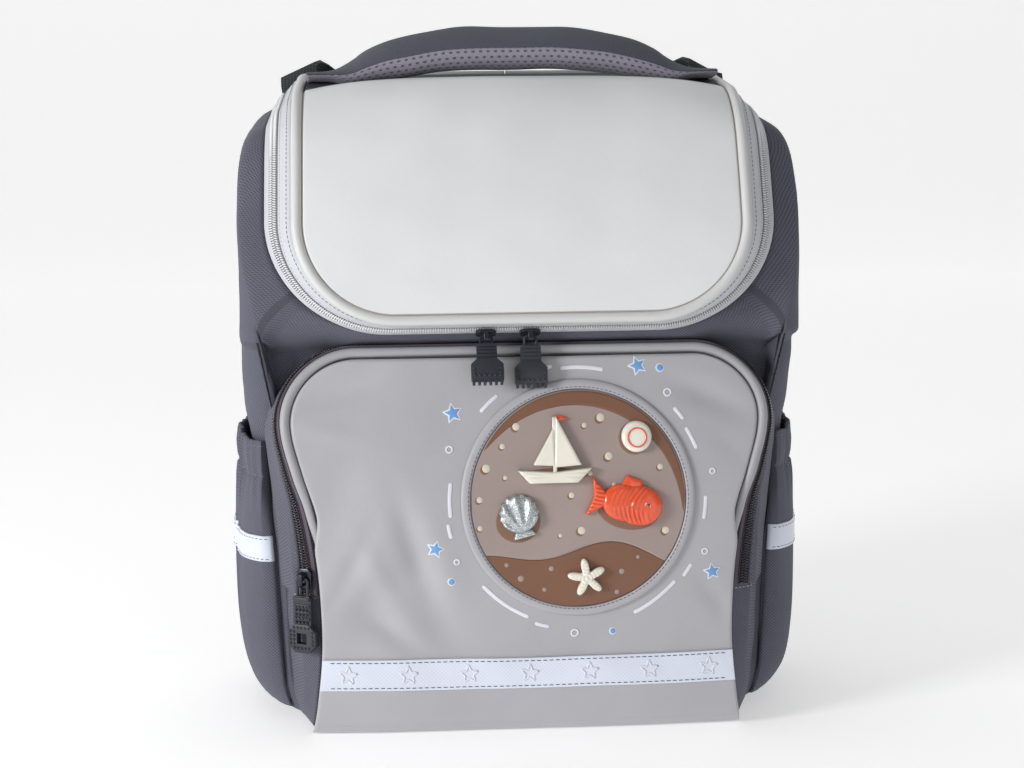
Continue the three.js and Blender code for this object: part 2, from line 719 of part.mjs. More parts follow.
// A point of the pocket's zipped side, between the marks' outlines at the panel's edge (t = 0), past
// the zip (t = 1), at the body (t = 2) and inside the body (t = 3).
function pocketSidePoint(mark, t) {
  const top = pocketHeight - ((ledgeHeight + 1) * Math.min(t, 2)) / 2;
  const shoulder = top - pocketCorner;
  const half = (z) => {
    const [low, high, share] = t < 1 ? ["edge", "middle", t] : ["middle", "body", Math.min(t - 1, 1)];
    return THREE.MathUtils.lerp(pocketHalf(z, low), pocketHalf(z, high), share);
  };
  const place = (x, z) => {
    const front = gussetFrontY(z);
    const spread = pocketHalf(z, "middle") - pocketHalf(z, "edge");
    const run = Math.sqrt(Math.max(1, pocketZipBand ** 2 - spread ** 2));
    const bend = Math.min(front + run, THREE.MathUtils.lerp(front, frontY, 0.9));
    const y = t < 1
      ? THREE.MathUtils.lerp(front, bend, t)
      : t < 2
        ? THREE.MathUtils.lerp(bend, frontY, t - 1)
        : frontY + (t - 2) * baseFrontCorner;
    return point(x, y, z);
  };
  if (mark === 0) return place(0, 0);
  if (mark <= footTurns + 1) {
    const a = degrees((90 * (mark - 1)) / footTurns);
    const z = pocketFootCorner * (1 - Math.cos(a));
    return place(-half(z) + pocketFootCorner * (1 - Math.sin(a)), z);
  }
  const side = mark - footTurns - 1;
  if (side <= lowMarks) {
    const z = THREE.MathUtils.lerp(pocketFootCorner, pocketZipFoot, side / lowMarks);
    return place(-half(z), z);
  }
  if (side <= lowMarks + highMarks) {
    const z = THREE.MathUtils.lerp(pocketZipFoot, shoulder, (side - lowMarks) / highMarks);
    return place(-half(z), z);
  }
  const turn = side - lowMarks - highMarks;
  if (turn > topTurns) return place(0, top);
  const a = degrees((90 * turn) / topTurns);
  const z = shoulder + pocketCorner * Math.sin(a);
  return place(-half(z) + pocketCorner * (1 - Math.cos(a)), z);
}

const topMark = footTurns + 1 + lowMarks + highMarks + topTurns + 1;
const zipMark = footTurns + 1 + lowMarks;

// The same all round: marks past the top's middle are the right half's.
function pocketLoopPoint(index, t) {
  const count = 2 * topMark;
  const mark = ((index % count) + count) % count;
  if (mark <= topMark) return pocketSidePoint(mark, t);
  const p = pocketSidePoint(count - mark, t);
  return point(-p.x, p.y, p.z);
}

// A point lifted off the zipped side, square to it.
function pocketSkin(index, t, lift) {
  const step = 0.02;
  const along = pocketLoopPoint(index + 1, t).sub(pocketLoopPoint(index - 1, t));
  const over = pocketLoopPoint(index, Math.min(t + step, 3)).sub(
    pocketLoopPoint(index, Math.max(t - step, 0)),
  );
  const normal = along.cross(over).normalize();
  return pocketLoopPoint(index, t).addScaledVector(normal, lift);
}

// Where a distance from the piping lies between t = 0 and t = 1.
const zipShare = (index, distance) =>
  distance / pocketLoopPoint(index, 1).distanceTo(pocketLoopPoint(index, 0));

// A strip along the zipped side, from one end of the zip round the top to the other.
function zipStrip(from, to, low, high) {
  const rings = [];
  for (let i = zipMark; i <= 2 * topMark - zipMark; i++) {
    const [a, b] = [from(i), to(i)];
    const ts = b > 1 ? [a, 1, b] : [a, b];
    rings.push([
      ...ts.map((t) => pocketSkin(i, t, low)),
      ...ts.reverse().map((t) => pocketSkin(i, t, high)),
    ]);
  }
  return loft(rings);
}

function pocketPanelHalf(z, inset) {
  const radius = pocketCorner - inset;
  const above = THREE.MathUtils.clamp(z - (pocketHeight - inset - radius), 0, radius);
  return pocketHalf(z, "edge") - inset - (radius - Math.sqrt(radius * radius - above * above));
}

// How far the sheet's edge lies inside the pocket's outline: beside the piping, or over it.
const panelInset = (z) =>
  THREE.MathUtils.lerp(
    pocketSheetMargin,
    pipingSpan,
    THREE.MathUtils.smoothstep(z, pocketTuckFoot, pocketTuckMiddle),
  );

function makePocket() {
  const marks = Array.from({ length: 2 * topMark }, (_, i) => i);
  const across = [0, 1, 2, 3];
  const sleeve = loft(
    marks.map((i) => [
      ...across.map((t) => pocketSkin(i, t, 0)),
      ...[...across].reverse().map((t) => pocketSkin(i, t, -pocketWall)),
    ]),
    true,
  );
  addMesh("pocket_gusset", cut(sleeve, bodyOuter(pieceGap)), greyCloth);

  const high = pocketHeight - pipingSpan;
  const radius = pocketCorner - pipingSpan;
  const turn = steps(0, 90, topTurns).map((a) => high - radius * (1 - Math.sin(degrees(a))));
  const foot = pocketSheetMargin;
  const hem = foot + 3;
  const rows = [foot, hem, hem + 0.5, ...steps(hem + 3.5, bandFoot, 2), bandFoot + bandHeight];
  const between = steps(bandFoot + bandHeight, turn[0], 10).slice(1, -1);
  const hemDepth = pocketPipingTuck + pipingSpan - 1;
  addMesh(
    "pocket_panel",
    plate({
      rows: [...rows, ...between, ...turn],
      half: (z) => pocketPanelHalf(z, panelInset(z)),
      outer: () => pocketSheetDrop,
      inner: (u, z) => (z <= hem ? hemDepth : pocketSheetDrop + pocketWall),
      across: 10,
      place: onPocket,
    }),
    greySheet,
  );

  const pipe = [];
  for (let mark = footTurns + 1; mark <= topMark; mark++) {
    const p = pocketSidePoint(mark, 0);
    const inward = point(0, 0, pocketHeight - pocketCorner).sub(p).setY(0);
    const nearTop = mark > zipMark + highMarks;
    const centre = point(-pocketHalfWidth + pocketCorner, p.y, pocketHeight - pocketCorner);
    const pull = nearTop ? centre.sub(p) : point(1, 0, 0);
    if (mark === topMark) pull.copy(inward);
    const aside = 1 - THREE.MathUtils.smoothstep(p.z, pocketTuckFoot, pocketTuckMiddle);
    const sink = pocketPipingRadius + 0.5 * pocketPipingTuck * aside;
    const at = p.clone().addScaledVector(pull.setY(0).normalize(), sink);
    pipe.push(at.setY(pocketEdgeY(at.z) + pipingTuck(at.z) + pocketPipingRadius));
  }
  const pipeRight = pipe.slice(0, -1).map((p) => point(-p.x, p.y, p.z)).reverse();
  addMesh("pocket_piping", bar([...pipe, ...pipeRight], pocketPipingRadius, 6), greySheet);

  const seat = 3 * pieceGap;
  const chainFrom = (i) => zipShare(i, pocketChainSetback);
  const chainTo = (i) => zipShare(i, pocketChainSetback + pocketChainWidth);
  addMesh("pocket_zip_chain", zipStrip(chainFrom, chainTo, seat, pocketChainHeight), darkCloth);
  const flapFrom = (i) => zipShare(i, pocketChainSetback + pocketChainWidth + 2 * pieceGap);
  const flap = zipStrip(flapFrom, () => 2, seat, seat + flapThickness);
  addMesh("pocket_zip_flap", cut(flap, bodyOuter(pieceGap)), greyCloth);

  addMesh(
    "reflective_band",
    plate({
      rows: [bandFoot, bandFoot + bandHeight],
      half: (z) => pocketPanelHalf(z, panelInset(z)) - pieceGap,
      outer: () => pocketSheetDrop - sewnSeat - bandThickness,
      inner: () => pocketSheetDrop - sewnSeat,
      across: 10,
      place: onPocket,
    }),
    reflective,
  );
}

// A point of the badge: right and up from its middle, and out from the sheet behind it.
const onBadge = (right, up, out) =>
  onPocket(badgeX + right, badgeHeight + up, pocketSheetDrop - sewnSeat - out);

// The line where the badge's darker ground meets its field.
const groundLine = (right) => {
  const share = right / badgeRadius;
  return badgeRadius * (-0.42 + 0.07 * Math.sin(5.2 * share) - 0.16 * share * share);
};

// A flat piece of the badge between two lines, in columns from left to right.
function badgeSheet(from, to, low, high) {
  const columns = steps(from, to, 16);
  return loft(
    columns.map((right) => {
      const ups = steps(low(right), high(right), 3);
      return [
        ...ups.map((up) => onBadge(right, up, badgeThickness)),
        ...ups.reverse().map((up) => onBadge(right, up, 0)),
      ];
    }),
  );
}

function makeBadge() {
  const inner = badgeRadius - badgeRimWidth;
  const turns = steps(0, 360, 32).slice(0, -1).map(degrees);
  const at = (radius, a, out) => onBadge(radius * Math.cos(a), radius * Math.sin(a), out);
  addMesh(
    "badge_rim",
    loft(
      turns.map((a) => [
        at(inner, a, 0),
        at(inner, a, badgeThickness),
        at(badgeRadius, a, badgeThickness),
        at(badgeRadius, a, 0),
      ]),
      true,
    ),
    greySheet,
  );
  const field = inner - 2 * pieceGap;
  const circle = (right) => Math.sqrt(Math.max(0, field * field - right * right));
  const wide = field * 0.995;
  const clear = 2 * pieceGap;
  const fieldLow = (right) => Math.max(-circle(right), groundLine(right) + clear);
  addMesh("badge_field", badgeSheet(-wide, wide, fieldLow, circle), mauve);
  const meets = steps(0, field, 400).filter((right) => groundLine(right) > 1 - circle(right));
  const meetsLeft = steps(0, field, 400).filter((right) => groundLine(-right) > 1 - circle(-right));
  const low = (right) => -circle(right);
  addMesh("badge_ground", badgeSheet(-Math.max(...meetsLeft), Math.max(...meets), low, groundLine), brown);
}

// A raised motif: rings of its outline drawn in towards its middle as they rise.
const domeRings = [
  { scale: 1, rise: 0 },
  { scale: 1, rise: 0.35 },
  { scale: 0.84, rise: 0.8 },
  { scale: 0.42, rise: 1.02 },
];

function dome(outline, right, up, lift = motifLift, turn = 0) {
  const a = degrees(turn);
  return loft(
    domeRings.map(({ scale, rise }) =>
      outline.map(([x, z]) =>
        onBadge(
          right + scale * (x * Math.cos(a) - z * Math.sin(a)),
          up + scale * (x * Math.sin(a) + z * Math.cos(a)),
          badgeThickness + sewnSeat + rise * lift,
        ),
      ),
    ),
  );
}

const polar = (count, radius) =>
  Array.from({ length: count }, (_, i) => {
    const a = (2 * Math.PI * i) / count;
    return [radius(a) * Math.cos(a), radius(a) * Math.sin(a)];
  });

// The badge's motifs, in shares of its radius from its middle.
const motifTable = {
  fish: { right: 0.44, up: -0.04, size: 0.27 },
  shell: { right: -0.5, up: -0.14, size: 0.2 },
  boat: { right: -0.2, up: 0.42, size: 0.32 },
  starfish: { right: 0.06, up: -0.66, size: 0.16 },
  sun: { right: 0.5, up: 0.52, size: 0.13 },
};

function makeMotifs() {
  const at = (name) => {
    const row = motifTable[name];
    return [row.right * badgeRadius, row.up * badgeRadius, row.size * badgeRadius];
  };
  const [fishX, fishZ, fish] = at("fish");
  const body = polar(16, (a) => fish * (0.62 + 0.38 * Math.cos(a) ** 2) * (Math.cos(a) < 0 ? 0.92 : 1));
  const tail = [[-0.55, 0], [-1.35, 0.62], [-1.2, 0], [-1.35, -0.62]].map(([x, z]) => [x * fish, z * fish]);
  const fishBody = dome(body, fishX, fishZ, motifLift * 1.15, -12);
  const tailMiddle = -0.98 * fish;
  const tailOutline = tail.map(([x, z]) => [x - tailMiddle, z]);
  const swing = degrees(-12);
  const tailRight = fishX + tailMiddle * Math.cos(swing);
  const tailUp = fishZ + tailMiddle * Math.sin(swing);
  addMesh("motif_fish", join(fishBody, dome(tailOutline, tailRight, tailUp, motifLift * 0.7, -12)), orange);

  const [shellX, shellZ, shell] = at("shell");
  const ribs = 9;
  const fan = polar(27, (a) => {
    const up = Math.sin(a);
    const edge = 1 + 0.05 * Math.cos(2 * ribs * (a - Math.PI / 2)) * Math.max(0, up + 0.4);
    return shell * edge * (0.78 + 0.22 * up);
  });
  addMesh("motif_shell", dome(fan, shellX, shellZ, motifLift * 1.1, 14), silver);

  const [boatX, boatZ, boat] = at("boat");
  const hull = [[-1, 0.14], [-0.7, -0.2], [0.62, -0.2], [1, 0.18], [0, 0.08]];
  const mainSail = [[-0.02, -0.55], [0.72, -0.5], [0.04, 0.8]];
  const foreSail = [[0.02, -0.45], [-0.58, -0.42], [-0.02, 0.55]];
  const scaled = (outline) => outline.map(([x, z]) => [x * boat, z * boat]);
  const centred = (outline) => {
    const x = outline.reduce((sum, p) => sum + p[0], 0) / outline.length;
    const z = outline.reduce((sum, p) => sum + p[1], 0) / outline.length;
    return { x, z, outline: outline.map((p) => [p[0] - x, p[1] - z]) };
  };
  const part = (outline, lift) => {
    const c = centred(scaled(outline));
    return dome(c.outline, boatX + c.x, boatZ + c.z, lift);
  };
  const raised = (outline, drop) => outline.map(([x, z]) => [x, z + drop]);
  const mast = [[-0.05, -0.5], [0.05, -0.5], [0.05, 0.98], [-0.05, 0.98]];
  addMesh(
    "motif_boat",
    join(
      part(raised(hull, -0.62), motifLift),
      part(raised(mast, -0.1), motifLift * 0.6),
      part(raised(mainSail, 0.12), motifLift * 0.8),
      part(raised(foreSail, 0.06), motifLift * 0.75),
    ),
    ivory,
  );

  const [starX, starZ, star] = at("starfish");
  const arms = polar(20, (a) => star * (0.7 + 0.36 * Math.cos(5 * a)));
  addMesh("motif_starfish", dome(arms, starX, starZ, motifLift * 0.8, 100), ivory);
  const [sunX, sunZ, sun] = at("sun");
  addMesh("motif_sun", dome(polar(14, () => sun), sunX, sunZ, motifLift * 0.9), ivory);
}

// Side pockets: heights as shares from foot to top, how far the wall stands off the body as a share
// of the bulge, how strongly it is gathered, and the depth of its upright fold.
const sidePocketTable = [
  { height: 0, bulge: 0, gather: 0, fold: 0 },
  { height: 0.05, bulge: 0.3, gather: 0, fold: 0 },
  { height: 0.12, bulge: 0.62, gather: 0, fold: 0 },
  { height: 0.28, bulge: 0.92, gather: 0.05, fold: 0.1 },
  { height: 0.45, bulge: 1, gather: 0.2, fold: 0.4 },
  { height: 0.65, bulge: 0.95, gather: 0.5, fold: 0.9 },
  { height: 0.8, bulge: 0.75, gather: 0.85, fold: 1 },
  { height: 0.87, bulge: 0.52, gather: 1, fold: 0.7 },
  { height: 0.94, bulge: 0.62, gather: 0.8, fold: 0.4 },
  { height: 1, bulge: 0.45, gather: 0.7, fold: 0.2 },
];
const foldPlace = 0.36; // of the pocket's length, from its front edge
const foldReach = 0.045;

// The right side pocket's line on the body at height z: points, and normals pointing away from it.
const lineParts = [1, 1, 1, 3, 3, 2, 2, 1];

function sideLine(z) {
  const row = bodyRow(z);
  const last = 2 * frontTurns + 2;
  const vertices = bodySection(row).slice(last - 2, last + 1 + sideMarks.length + backTurns);
  const centre = point(row.half - row.corner, row.front + row.corner, z);
  const reach = pocketHalf(Math.min(z, pocketHeight), "body") + sidePocketMargin - centre.x;
  const a = Math.acos(THREE.MathUtils.clamp(reach / row.corner, 0, 0.7));
  vertices.unshift(centre.add(point(row.corner * Math.cos(a), -row.corner * Math.sin(a), 0)));
  const line = [];
  for (let i = 0; i < lineParts.length; i++)
    for (let k = 0; k < lineParts[i]; k++)
      line.push(vertices[i].clone().lerp(vertices[i + 1], k / lineParts[i]));
  line.push(vertices[lineParts.length]);
  return line.map((p, i) => {
    const along = line[Math.min(i + 1, line.length - 1)].clone().sub(line[Math.max(i - 1, 0)]);
    return { p, normal: point(along.y, -along.x, 0).normalize() };
  });
}

// How far the side pocket's wall stands off the body, t along its length and z up.
function sidePocketOff(t, z) {
  const share = (z - sidePocketFoot) / (sidePocketTop - sidePocketFoot);
  const read = (name) => column(sidePocketTable, name, share);
  const swell = Math.sqrt(Math.max(0, Math.sin(Math.PI * t)));
  const fold = 0.75 * read("fold") * Math.exp(-(((t - foldPlace) / foldReach) ** 2));
  const ruffle = 0.5 + 0.5 * Math.sin(2 * Math.PI * gatherCount * t);
  const off = sidePocketBulge * read("bulge") * (1 - fold) + gatherDepth * read("gather") * ruffle;
  return pieceGap + off * swell;
}

function sideWall(levels, low, high, side) {
  return loft(
    levels.map((z) => {
      const line = sideLine(z);
      const at = (i, lift) => {
        const { p, normal } = line[i];
        const q = p.clone().addScaledVector(normal, sidePocketOff(i / (line.length - 1), z) + lift);
        return point(side * q.x, q.y, q.z);
      };
      const order = line.map((_, i) => i);
      return [...order.map((i) => at(i, high)), ...order.reverse().map((i) => at(i, low))];
    }),
  );
}

function makeSidePockets() {
  const within = (low, high) => bodyLevels.filter((z) => z >= low && z <= high);
  const levels = within(sidePocketFoot, sidePocketTop);
  const bandLevels = within(sideBandFoot, sideBandFoot + sideBandHeight);
  const bandLow = sidePocketWall + 2 * pieceGap;
  for (const [name, side] of [["left", -1], ["right", 1]]) {
    addMesh(`side_pocket_${name}`, sideWall(levels, 0, sidePocketWall, side), greyCloth);
    const band = sideWall(bandLevels, bandLow, bandLow + sideBandThickness, side);
    addMesh(`side_band_${name}`, band, reflective);
  }
}

// The handle: shares of its half length from the middle, of its rise and of its thickness.
const handleTable = [
  { along: 0, rise: 1, thick: 1 },
  { along: 0.3, rise: 0.95, thick: 1 },
  { along: 0.58, rise: 0.5, thick: 0.9 },
  { along: 0.715, rise: 0.2, thick: 0.72 },
  { along: 0.8, rise: 0.02, thick: 0.42 },
  { along: 0.88, rise: 0, thick: 0.12 },
  { along: 1, rise: 0, thick: 0 },
];
const lidTopPoint = (setback) => onLid(0, lidProfile.seam + setback, -lidEdgeDrop);

// Part of the handle's rounded section, from one angle to another, closed by a chord. Angle 0 faces
// forward and 90 up.
function handlePart(from, to, clear) {
  const seat = lidTopPoint(handleSetback);
  return loft(
    steps(-1, 1, 16).map((u) => {
      const read = (name) => column(handleTable, name, Math.abs(u), "along");
      const thick = THREE.MathUtils.lerp(handleEndThickness, handleThickness, read("thick"));
      const tilt = THREE.MathUtils.lerp(-degrees(lidTopSlope), degrees(handleTilt), read("thick"));
      const [a, b] = [handleWidth / 2, thick / 2];
      const low = Math.hypot(a * Math.sin(tilt), b * Math.cos(tilt));
      const under = Math.max(low, b + a * Math.sin(degrees(lidTopSlope)) * (1 - read("thick")));
      const centre = seat.z + pieceGap + handleRise * read("rise") + under;
      return steps(from(read("thick")), to(read("thick")), 7).map((angle) => {
        const r = degrees(angle);
        const across = -a * Math.cos(r);
        const up = b * Math.sin(r) + clear;
        return point(
          u * handleHalfLength,
          seat.y + across * Math.cos(tilt) - up * Math.sin(tilt),
          centre + across * Math.sin(tilt) + up * Math.cos(tilt),
        );
      });
    }),
  );
}

function makeHandle() {
  const split = (thick) => THREE.MathUtils.lerp(4, 28, thick);
  addMesh("handle_cover", handlePart(split, () => 176, pieceGap / 2), greyCloth);
  addMesh("handle_lining", handlePart(split, () => -184, -pieceGap / 2), lilacMesh);
}

function makeBackPanel() {
  const radius = backPanelCorner;
  const half = (z) => {
    const near = Math.min(z - backPanelFoot, backPanelTop - z);
    const left = THREE.MathUtils.clamp(radius - near, 0, radius);
    return backPanelHalfWidth - radius + Math.sqrt(radius * radius - left * left);
  };
  const low = steps(0, 90, 3).map((a) => backPanelFoot + radius * (1 - Math.cos(degrees(a))));
  const high = steps(90, 0, 3).map((a) => backPanelTop - radius * (1 - Math.cos(degrees(a))));
  const rows = [...low, ...steps(low[3], high[0], 4).slice(1, -1), ...high];
  const rim = backPanelThickness * 0.45;
  const pad = (u, z) => {
    const up = THREE.MathUtils.clamp((z - backPanelFoot) / (backPanelTop - backPanelFoot), 0, 1);
    return rim + (backPanelThickness - rim) * (1 - u ** 4) * Math.min(1, 8 * up * (1 - up));
  };
  const place = (x, z, n) => point(x, backY + pieceGap + n, z);
  const panel = plate({ rows, half, outer: pad, inner: () => 0, across: 8, place });
  addMesh("back_panel", panel, darkCloth);
}

// A shoulder strap: how far down its drop, from its upper run to its lower, off the back, and how
// wide and thick it is, as shares.
const strapTable = [
  { down: 0, out: 0, off: 0.1, wide: 0.9, thick: 0.6 },
  { down: 0.08, out: 0, off: 0.42, wide: 1, thick: 0.9 },
  { down: 0.25, out: 0.08, off: 0.92, wide: 1, thick: 1 },
  { down: 0.45, out: 0.28, off: 1, wide: 1, thick: 1 },
  { down: 0.7, out: 0.62, off: 0.78, wide: 0.92, thick: 1 },
  { down: 0.9, out: 0.9, off: 0.55, wide: 0.78, thick: 0.9 },
  { down: 1, out: 1, off: 0.42, wide: 0.6, thick: 0.6 },
];

function strapMiddle(down, side) {
  const read = (name) => column(strapTable, name, down, "down");
  const rest = backY + backPanelThickness + 2 * pieceGap + strapThickness / 2;
  return point(
    side * THREE.MathUtils.lerp(strapRun, strapFootRun, read("out")),
    rest + strapReach * read("off"),
    strapTop - strapLength * down,
  );
}

// A point of the strap: across from its middle line and up off its middle layer, away from the bag.
function onStrap(down, side, across, lift) {
  const step = 0.01;
  const ahead = strapMiddle(Math.min(1, down + step), side);
  const along = ahead.sub(strapMiddle(Math.max(0, down - step), side)).normalize();
  const outward = point(1, 0, 0).addScaledVector(along, -along.x).normalize();
  const away = outward.clone().cross(along).normalize();
  if (away.y < 0) away.negate();
  return strapMiddle(down, side).addScaledVector(outward, across).addScaledVector(away, lift);
}

// A flat band through stations, each with a middle point and the direction across it.
function ribbon(stations, width, thickness) {
  return loft(
    stations.map(({ at, across }, i) => {
      const ahead = stations[Math.min(i + 1, stations.length - 1)].at;
      const along = ahead.clone().sub(stations[Math.max(i - 1, 0)].at).normalize();
      const side = across.clone().addScaledVector(along, -along.dot(across)).normalize();
      const up = along.cross(side);
      const corner = (a, b) =>
        at.clone().addScaledVector(side, (a * width) / 2).addScaledVector(up, (b * thickness) / 2);
      return [corner(-1, -1), corner(1, -1), corner(1, 1), corner(-1, 1)];
    }),
  );
}

function smoothStations(stations, count) {
  const middle = new THREE.CatmullRomCurve3(stations.map((s) => s.at));
  const across = new THREE.CatmullRomCurve3(stations.map((s) => s.across));
  return steps(0, 1, count).map((t) => ({ at: middle.getPoint(t), across: across.getPoint(t) }));
}

function makeStrap(name, side) {
  const pad = loft(
    steps(0, 1, 12).map((down) => {
      const read = (key) => column(strapTable, key, down, "down");
      const [a, b] = [(strapWidth / 2) * read("wide"), (strapThickness / 2) * read("thick")];
      const outline = [[-1, 0], [-0.94, 0.66], [-0.7, 1], [0.7, 1], [0.94, 0.66], [1, 0]];
      const under = outline.slice(1, -1).reverse().map(([x, y]) => [x, -y]);
      return [...outline, ...under].map(([x, y]) => onStrap(down, side, a * x, b * y));
    }),
  );
  addMesh(`shoulder_strap_${name}`, pad, darkCloth);

  // The adjuster's own frame: across the strap, down along it and away from the bag.
  const nose = strapMiddle(1, side);
  const foot = point(side * webFootRun, backY + 2 * webThickness, webFoot);
  const down = nose.clone().sub(strapMiddle(0.98, side)).normalize();
  const across = point(1, 0, 0).addScaledVector(down, -down.x).normalize();
  const away = across.clone().cross(down);
  if (away.y < 0) away.negate();
  const centre = nose.clone().addScaledVector(down, adjusterHeight / 2 + pieceGap);
  const place = (d, n) => centre.clone().addScaledVector(down, d).addScaledVector(away, n);

  const frame = new THREE.Shape();
  const [w, h] = [adjusterWidth / 2, adjusterHeight / 2];
  frame.moveTo(-w, -h).lineTo(w, -h).lineTo(w, h).lineTo(-w, h).closePath();
  const windowHalf = webWidth / 2 + 1;
  for (const [low, high] of [[-h + adjusterBar, -adjusterBar / 2], [adjusterBar / 2, h - adjusterBar]]) {
    const hole = new THREE.Path();
    hole.moveTo(-windowHalf, low).lineTo(-windowHalf, high).lineTo(windowHalf, high);
    hole.lineTo(windowHalf, low);
    frame.holes.push(hole);
  }
  const plateShape = new THREE.ExtrudeGeometry(frame, { depth: adjusterThickness, bevelEnabled: false });
  plateShape.translate(0, 0, -adjusterThickness / 2);
  const buckle = addMesh(`strap_adjuster_${name}`, plateShape, blackRubber);
  const facing = across.clone().cross(down);
  buckle.quaternion.setFromRotationMatrix(new THREE.Matrix4().makeBasis(across, down, facing));
  buckle.position.copy(centre);

  // The webbing runs up behind the lower bar, forward through the window and down again as a tail.
  const clear = adjusterThickness / 2 + pieceGap + webThickness / 2 + 0.2;
  const windowMiddle = (adjusterBar / 2 + h - adjusterBar) / 2;
  const stations = [
    foot,
    place(h + 14, -clear - 1),
    place(h, -clear),
    place(windowMiddle + 1.6, -clear + 0.6),
    place(windowMiddle - 0.6, 0),
    place(windowMiddle + 1.6, clear - 0.6),
    place(h, clear),
    place(h + 14, clear + 1),
    place(webTail, clear + 5),
  ].map((at) => ({ at, across }));
  addMesh(`strap_webbing_${name}`, ribbon(stations, webWidth, webThickness), blackWeb);

  // The lifter loops up behind the bag's top corner and comes down onto the strap.
  const slant = point(side * 0.9, 0, -0.42);
  const flat = point(side, 0, 0);
  const rest = strapThickness / 2 + pieceGap + webThickness / 2;
  const loops = [
    { at: point(side * lifterRun, backY + webThickness, bagHeight - lifterDrop), across: flat },
    { at: point(side * lifterRun * 1.045, backY + lifterStand * 0.15, bagHeight - lifterDrop * 0.35), across: slant },
    { at: point(side * lifterRun * 1.05, backY + lifterStand * 0.4, bagHeight), across: slant },
    { at: point(side * lifterRun * 0.965, backY + lifterStand, bagHeight - lifterDrop * 0.13), across: slant },
    { at: onStrap(0.08, side, side * strapWidth * 0.22, rest + 5), across: flat },
    { at: onStrap(0.13, side, side * strapWidth * 0.12, rest + 1), across: flat },
    { at: onStrap(0.19, side, side * strapWidth * 0.08, rest + 0.5), across: flat },
  ];
  addMesh(`lifter_webbing_${name}`, ribbon(smoothStations(loops, 14), lifterWidth, webThickness), blackWeb);
}

// A slider: its plate on the chain and an arch over the zip for the pull's eye. X is across the
// pull, Y along it and Z out from the zip.
function sliderGeometry(sizeX, sizeY) {
  const plateShape = new THREE.Shape();
  const [x, y] = [sizeX / 2, sizeY / 2];
  const chamfer = 2;
  plateShape.moveTo(-x + chamfer, -y).lineTo(x - chamfer, -y).lineTo(x, -y + chamfer);
  plateShape.lineTo(x, y - chamfer).lineTo(x - chamfer, y).lineTo(-x + chamfer, y);
  plateShape.lineTo(-x, y - chamfer).lineTo(-x, -y + chamfer).closePath();
  const base = new THREE.ExtrudeGeometry(plateShape, { depth: sliderPlate, bevelEnabled: false });
  const arch = new THREE.Shape();
  const half = archLength / 2;
  const sunk = 0.4;
  arch.moveTo(-half, -sunk).lineTo(-half, archHeight - 1).lineTo(-half + 1, archHeight);
  arch.lineTo(half - 1, archHeight).lineTo(half, archHeight - 1).lineTo(half, -sunk);
  arch.lineTo(half - archBar, -sunk).lineTo(half - archBar, archHeight - archBar);
  arch.lineTo(-half + archBar, archHeight - archBar).lineTo(-half + archBar, -sunk).closePath();
  const loop = new THREE.ExtrudeGeometry(arch, { depth: archWidth, bevelEnabled: false });
  loop.rotateX(Math.PI / 2).rotateZ(Math.PI / 2);
  loop.translate(-archWidth / 2, 0, sliderPlate);
  return join(base, loop);
}

// A rubber pull that hangs from its eye: X across, Z up and its face towards -Y.
function pullGeometry({ eyeLength, strap, width, block, comb, hole }) {
  const eye = pullEyeWidth / 2;
  const wire = [
    [-eye, -eyeLength], [-eye, -1], [-eye + 0.8, 0], [eye - 0.8, 0], [eye, -1], [eye, -eyeLength],
  ].map(([x, z]) => point(x, 0, z));
  const slab = (shape, front, back) => {
    const flat = new THREE.ExtrudeGeometry(shape, { depth: back - front, bevelEnabled: false });
    return flat.rotateX(Math.PI / 2).translate(0, back, 0);
  };
  const sunk = 1.2;
  const top = -eyeLength + sunk;
  const foot = -eyeLength - strap;
  const half = pullStrapWidth / 2;
  const neck = new THREE.Shape();
  neck.moveTo(-half + 1, top).lineTo(half - 1, top).lineTo(half, top - 1).lineTo(half, foot - 1);
  neck.lineTo(-half, foot - 1).lineTo(-half, top - 1).closePath();
  const back = pullThickness / 2;
  const parts = [bar(wire, pullWireRadius, 6), slab(neck, -back * 0.6, back * 0.6)];
  const bump = (left, right, high, low, front, rear) => {
    const shape = new THREE.Shape();
    shape.moveTo(left, high).lineTo(right, high).lineTo(right, low).lineTo(left, low).closePath();
    parts.push(slab(shape, front, rear));
  };
  const ribPitch = strap / pullRibs;
  const ribHalf = half - 0.6;
  for (let i = 0; i < pullRibs; i++) {
    const high = top - 0.6 - i * ribPitch;
    bump(-ribHalf, ribHalf, high, high - ribPitch * 0.55, -back * 0.6 - pullRibLift, back * 0.4);
  }
  const outline = new THREE.Shape();
  const w = width / 2;
  const chamfer = block * 0.26;
  const end = foot - block;
  const heel = comb ? 0.5 : chamfer;
  outline.moveTo(-w + chamfer, foot).lineTo(w - chamfer, foot).lineTo(w, foot - chamfer);
  outline.lineTo(w, end + heel).lineTo(w - heel, end).lineTo(-w + heel, end);
  outline.lineTo(-w, end + heel).lineTo(-w, foot - chamfer).closePath();
  const toothPitch = (width - 2 * heel) / (2 * pullTeeth - 1);
  for (let i = 0; comb && i < pullTeeth; i++) {
    const left = -w + heel + 2 * i * toothPitch;
    bump(left, left + toothPitch, end + 1, end - pullToothLength, -back * 0.8, back * 0.8);
  }
  if (hole) {
    const middle = foot - block / 2;
    const opening = new THREE.Path();
    opening.moveTo(-hole / 2, middle - hole / 2).lineTo(hole / 2, middle - hole / 2);
    opening.lineTo(hole / 2, middle + hole / 2).lineTo(-hole / 2, middle + hole / 2);
    outline.holes.push(opening);
  }
  parts.push(slab(outline, -back, back));
  return join(...parts);
}

const eyeHeight = sliderPlate + (archHeight - archBar) / 2;

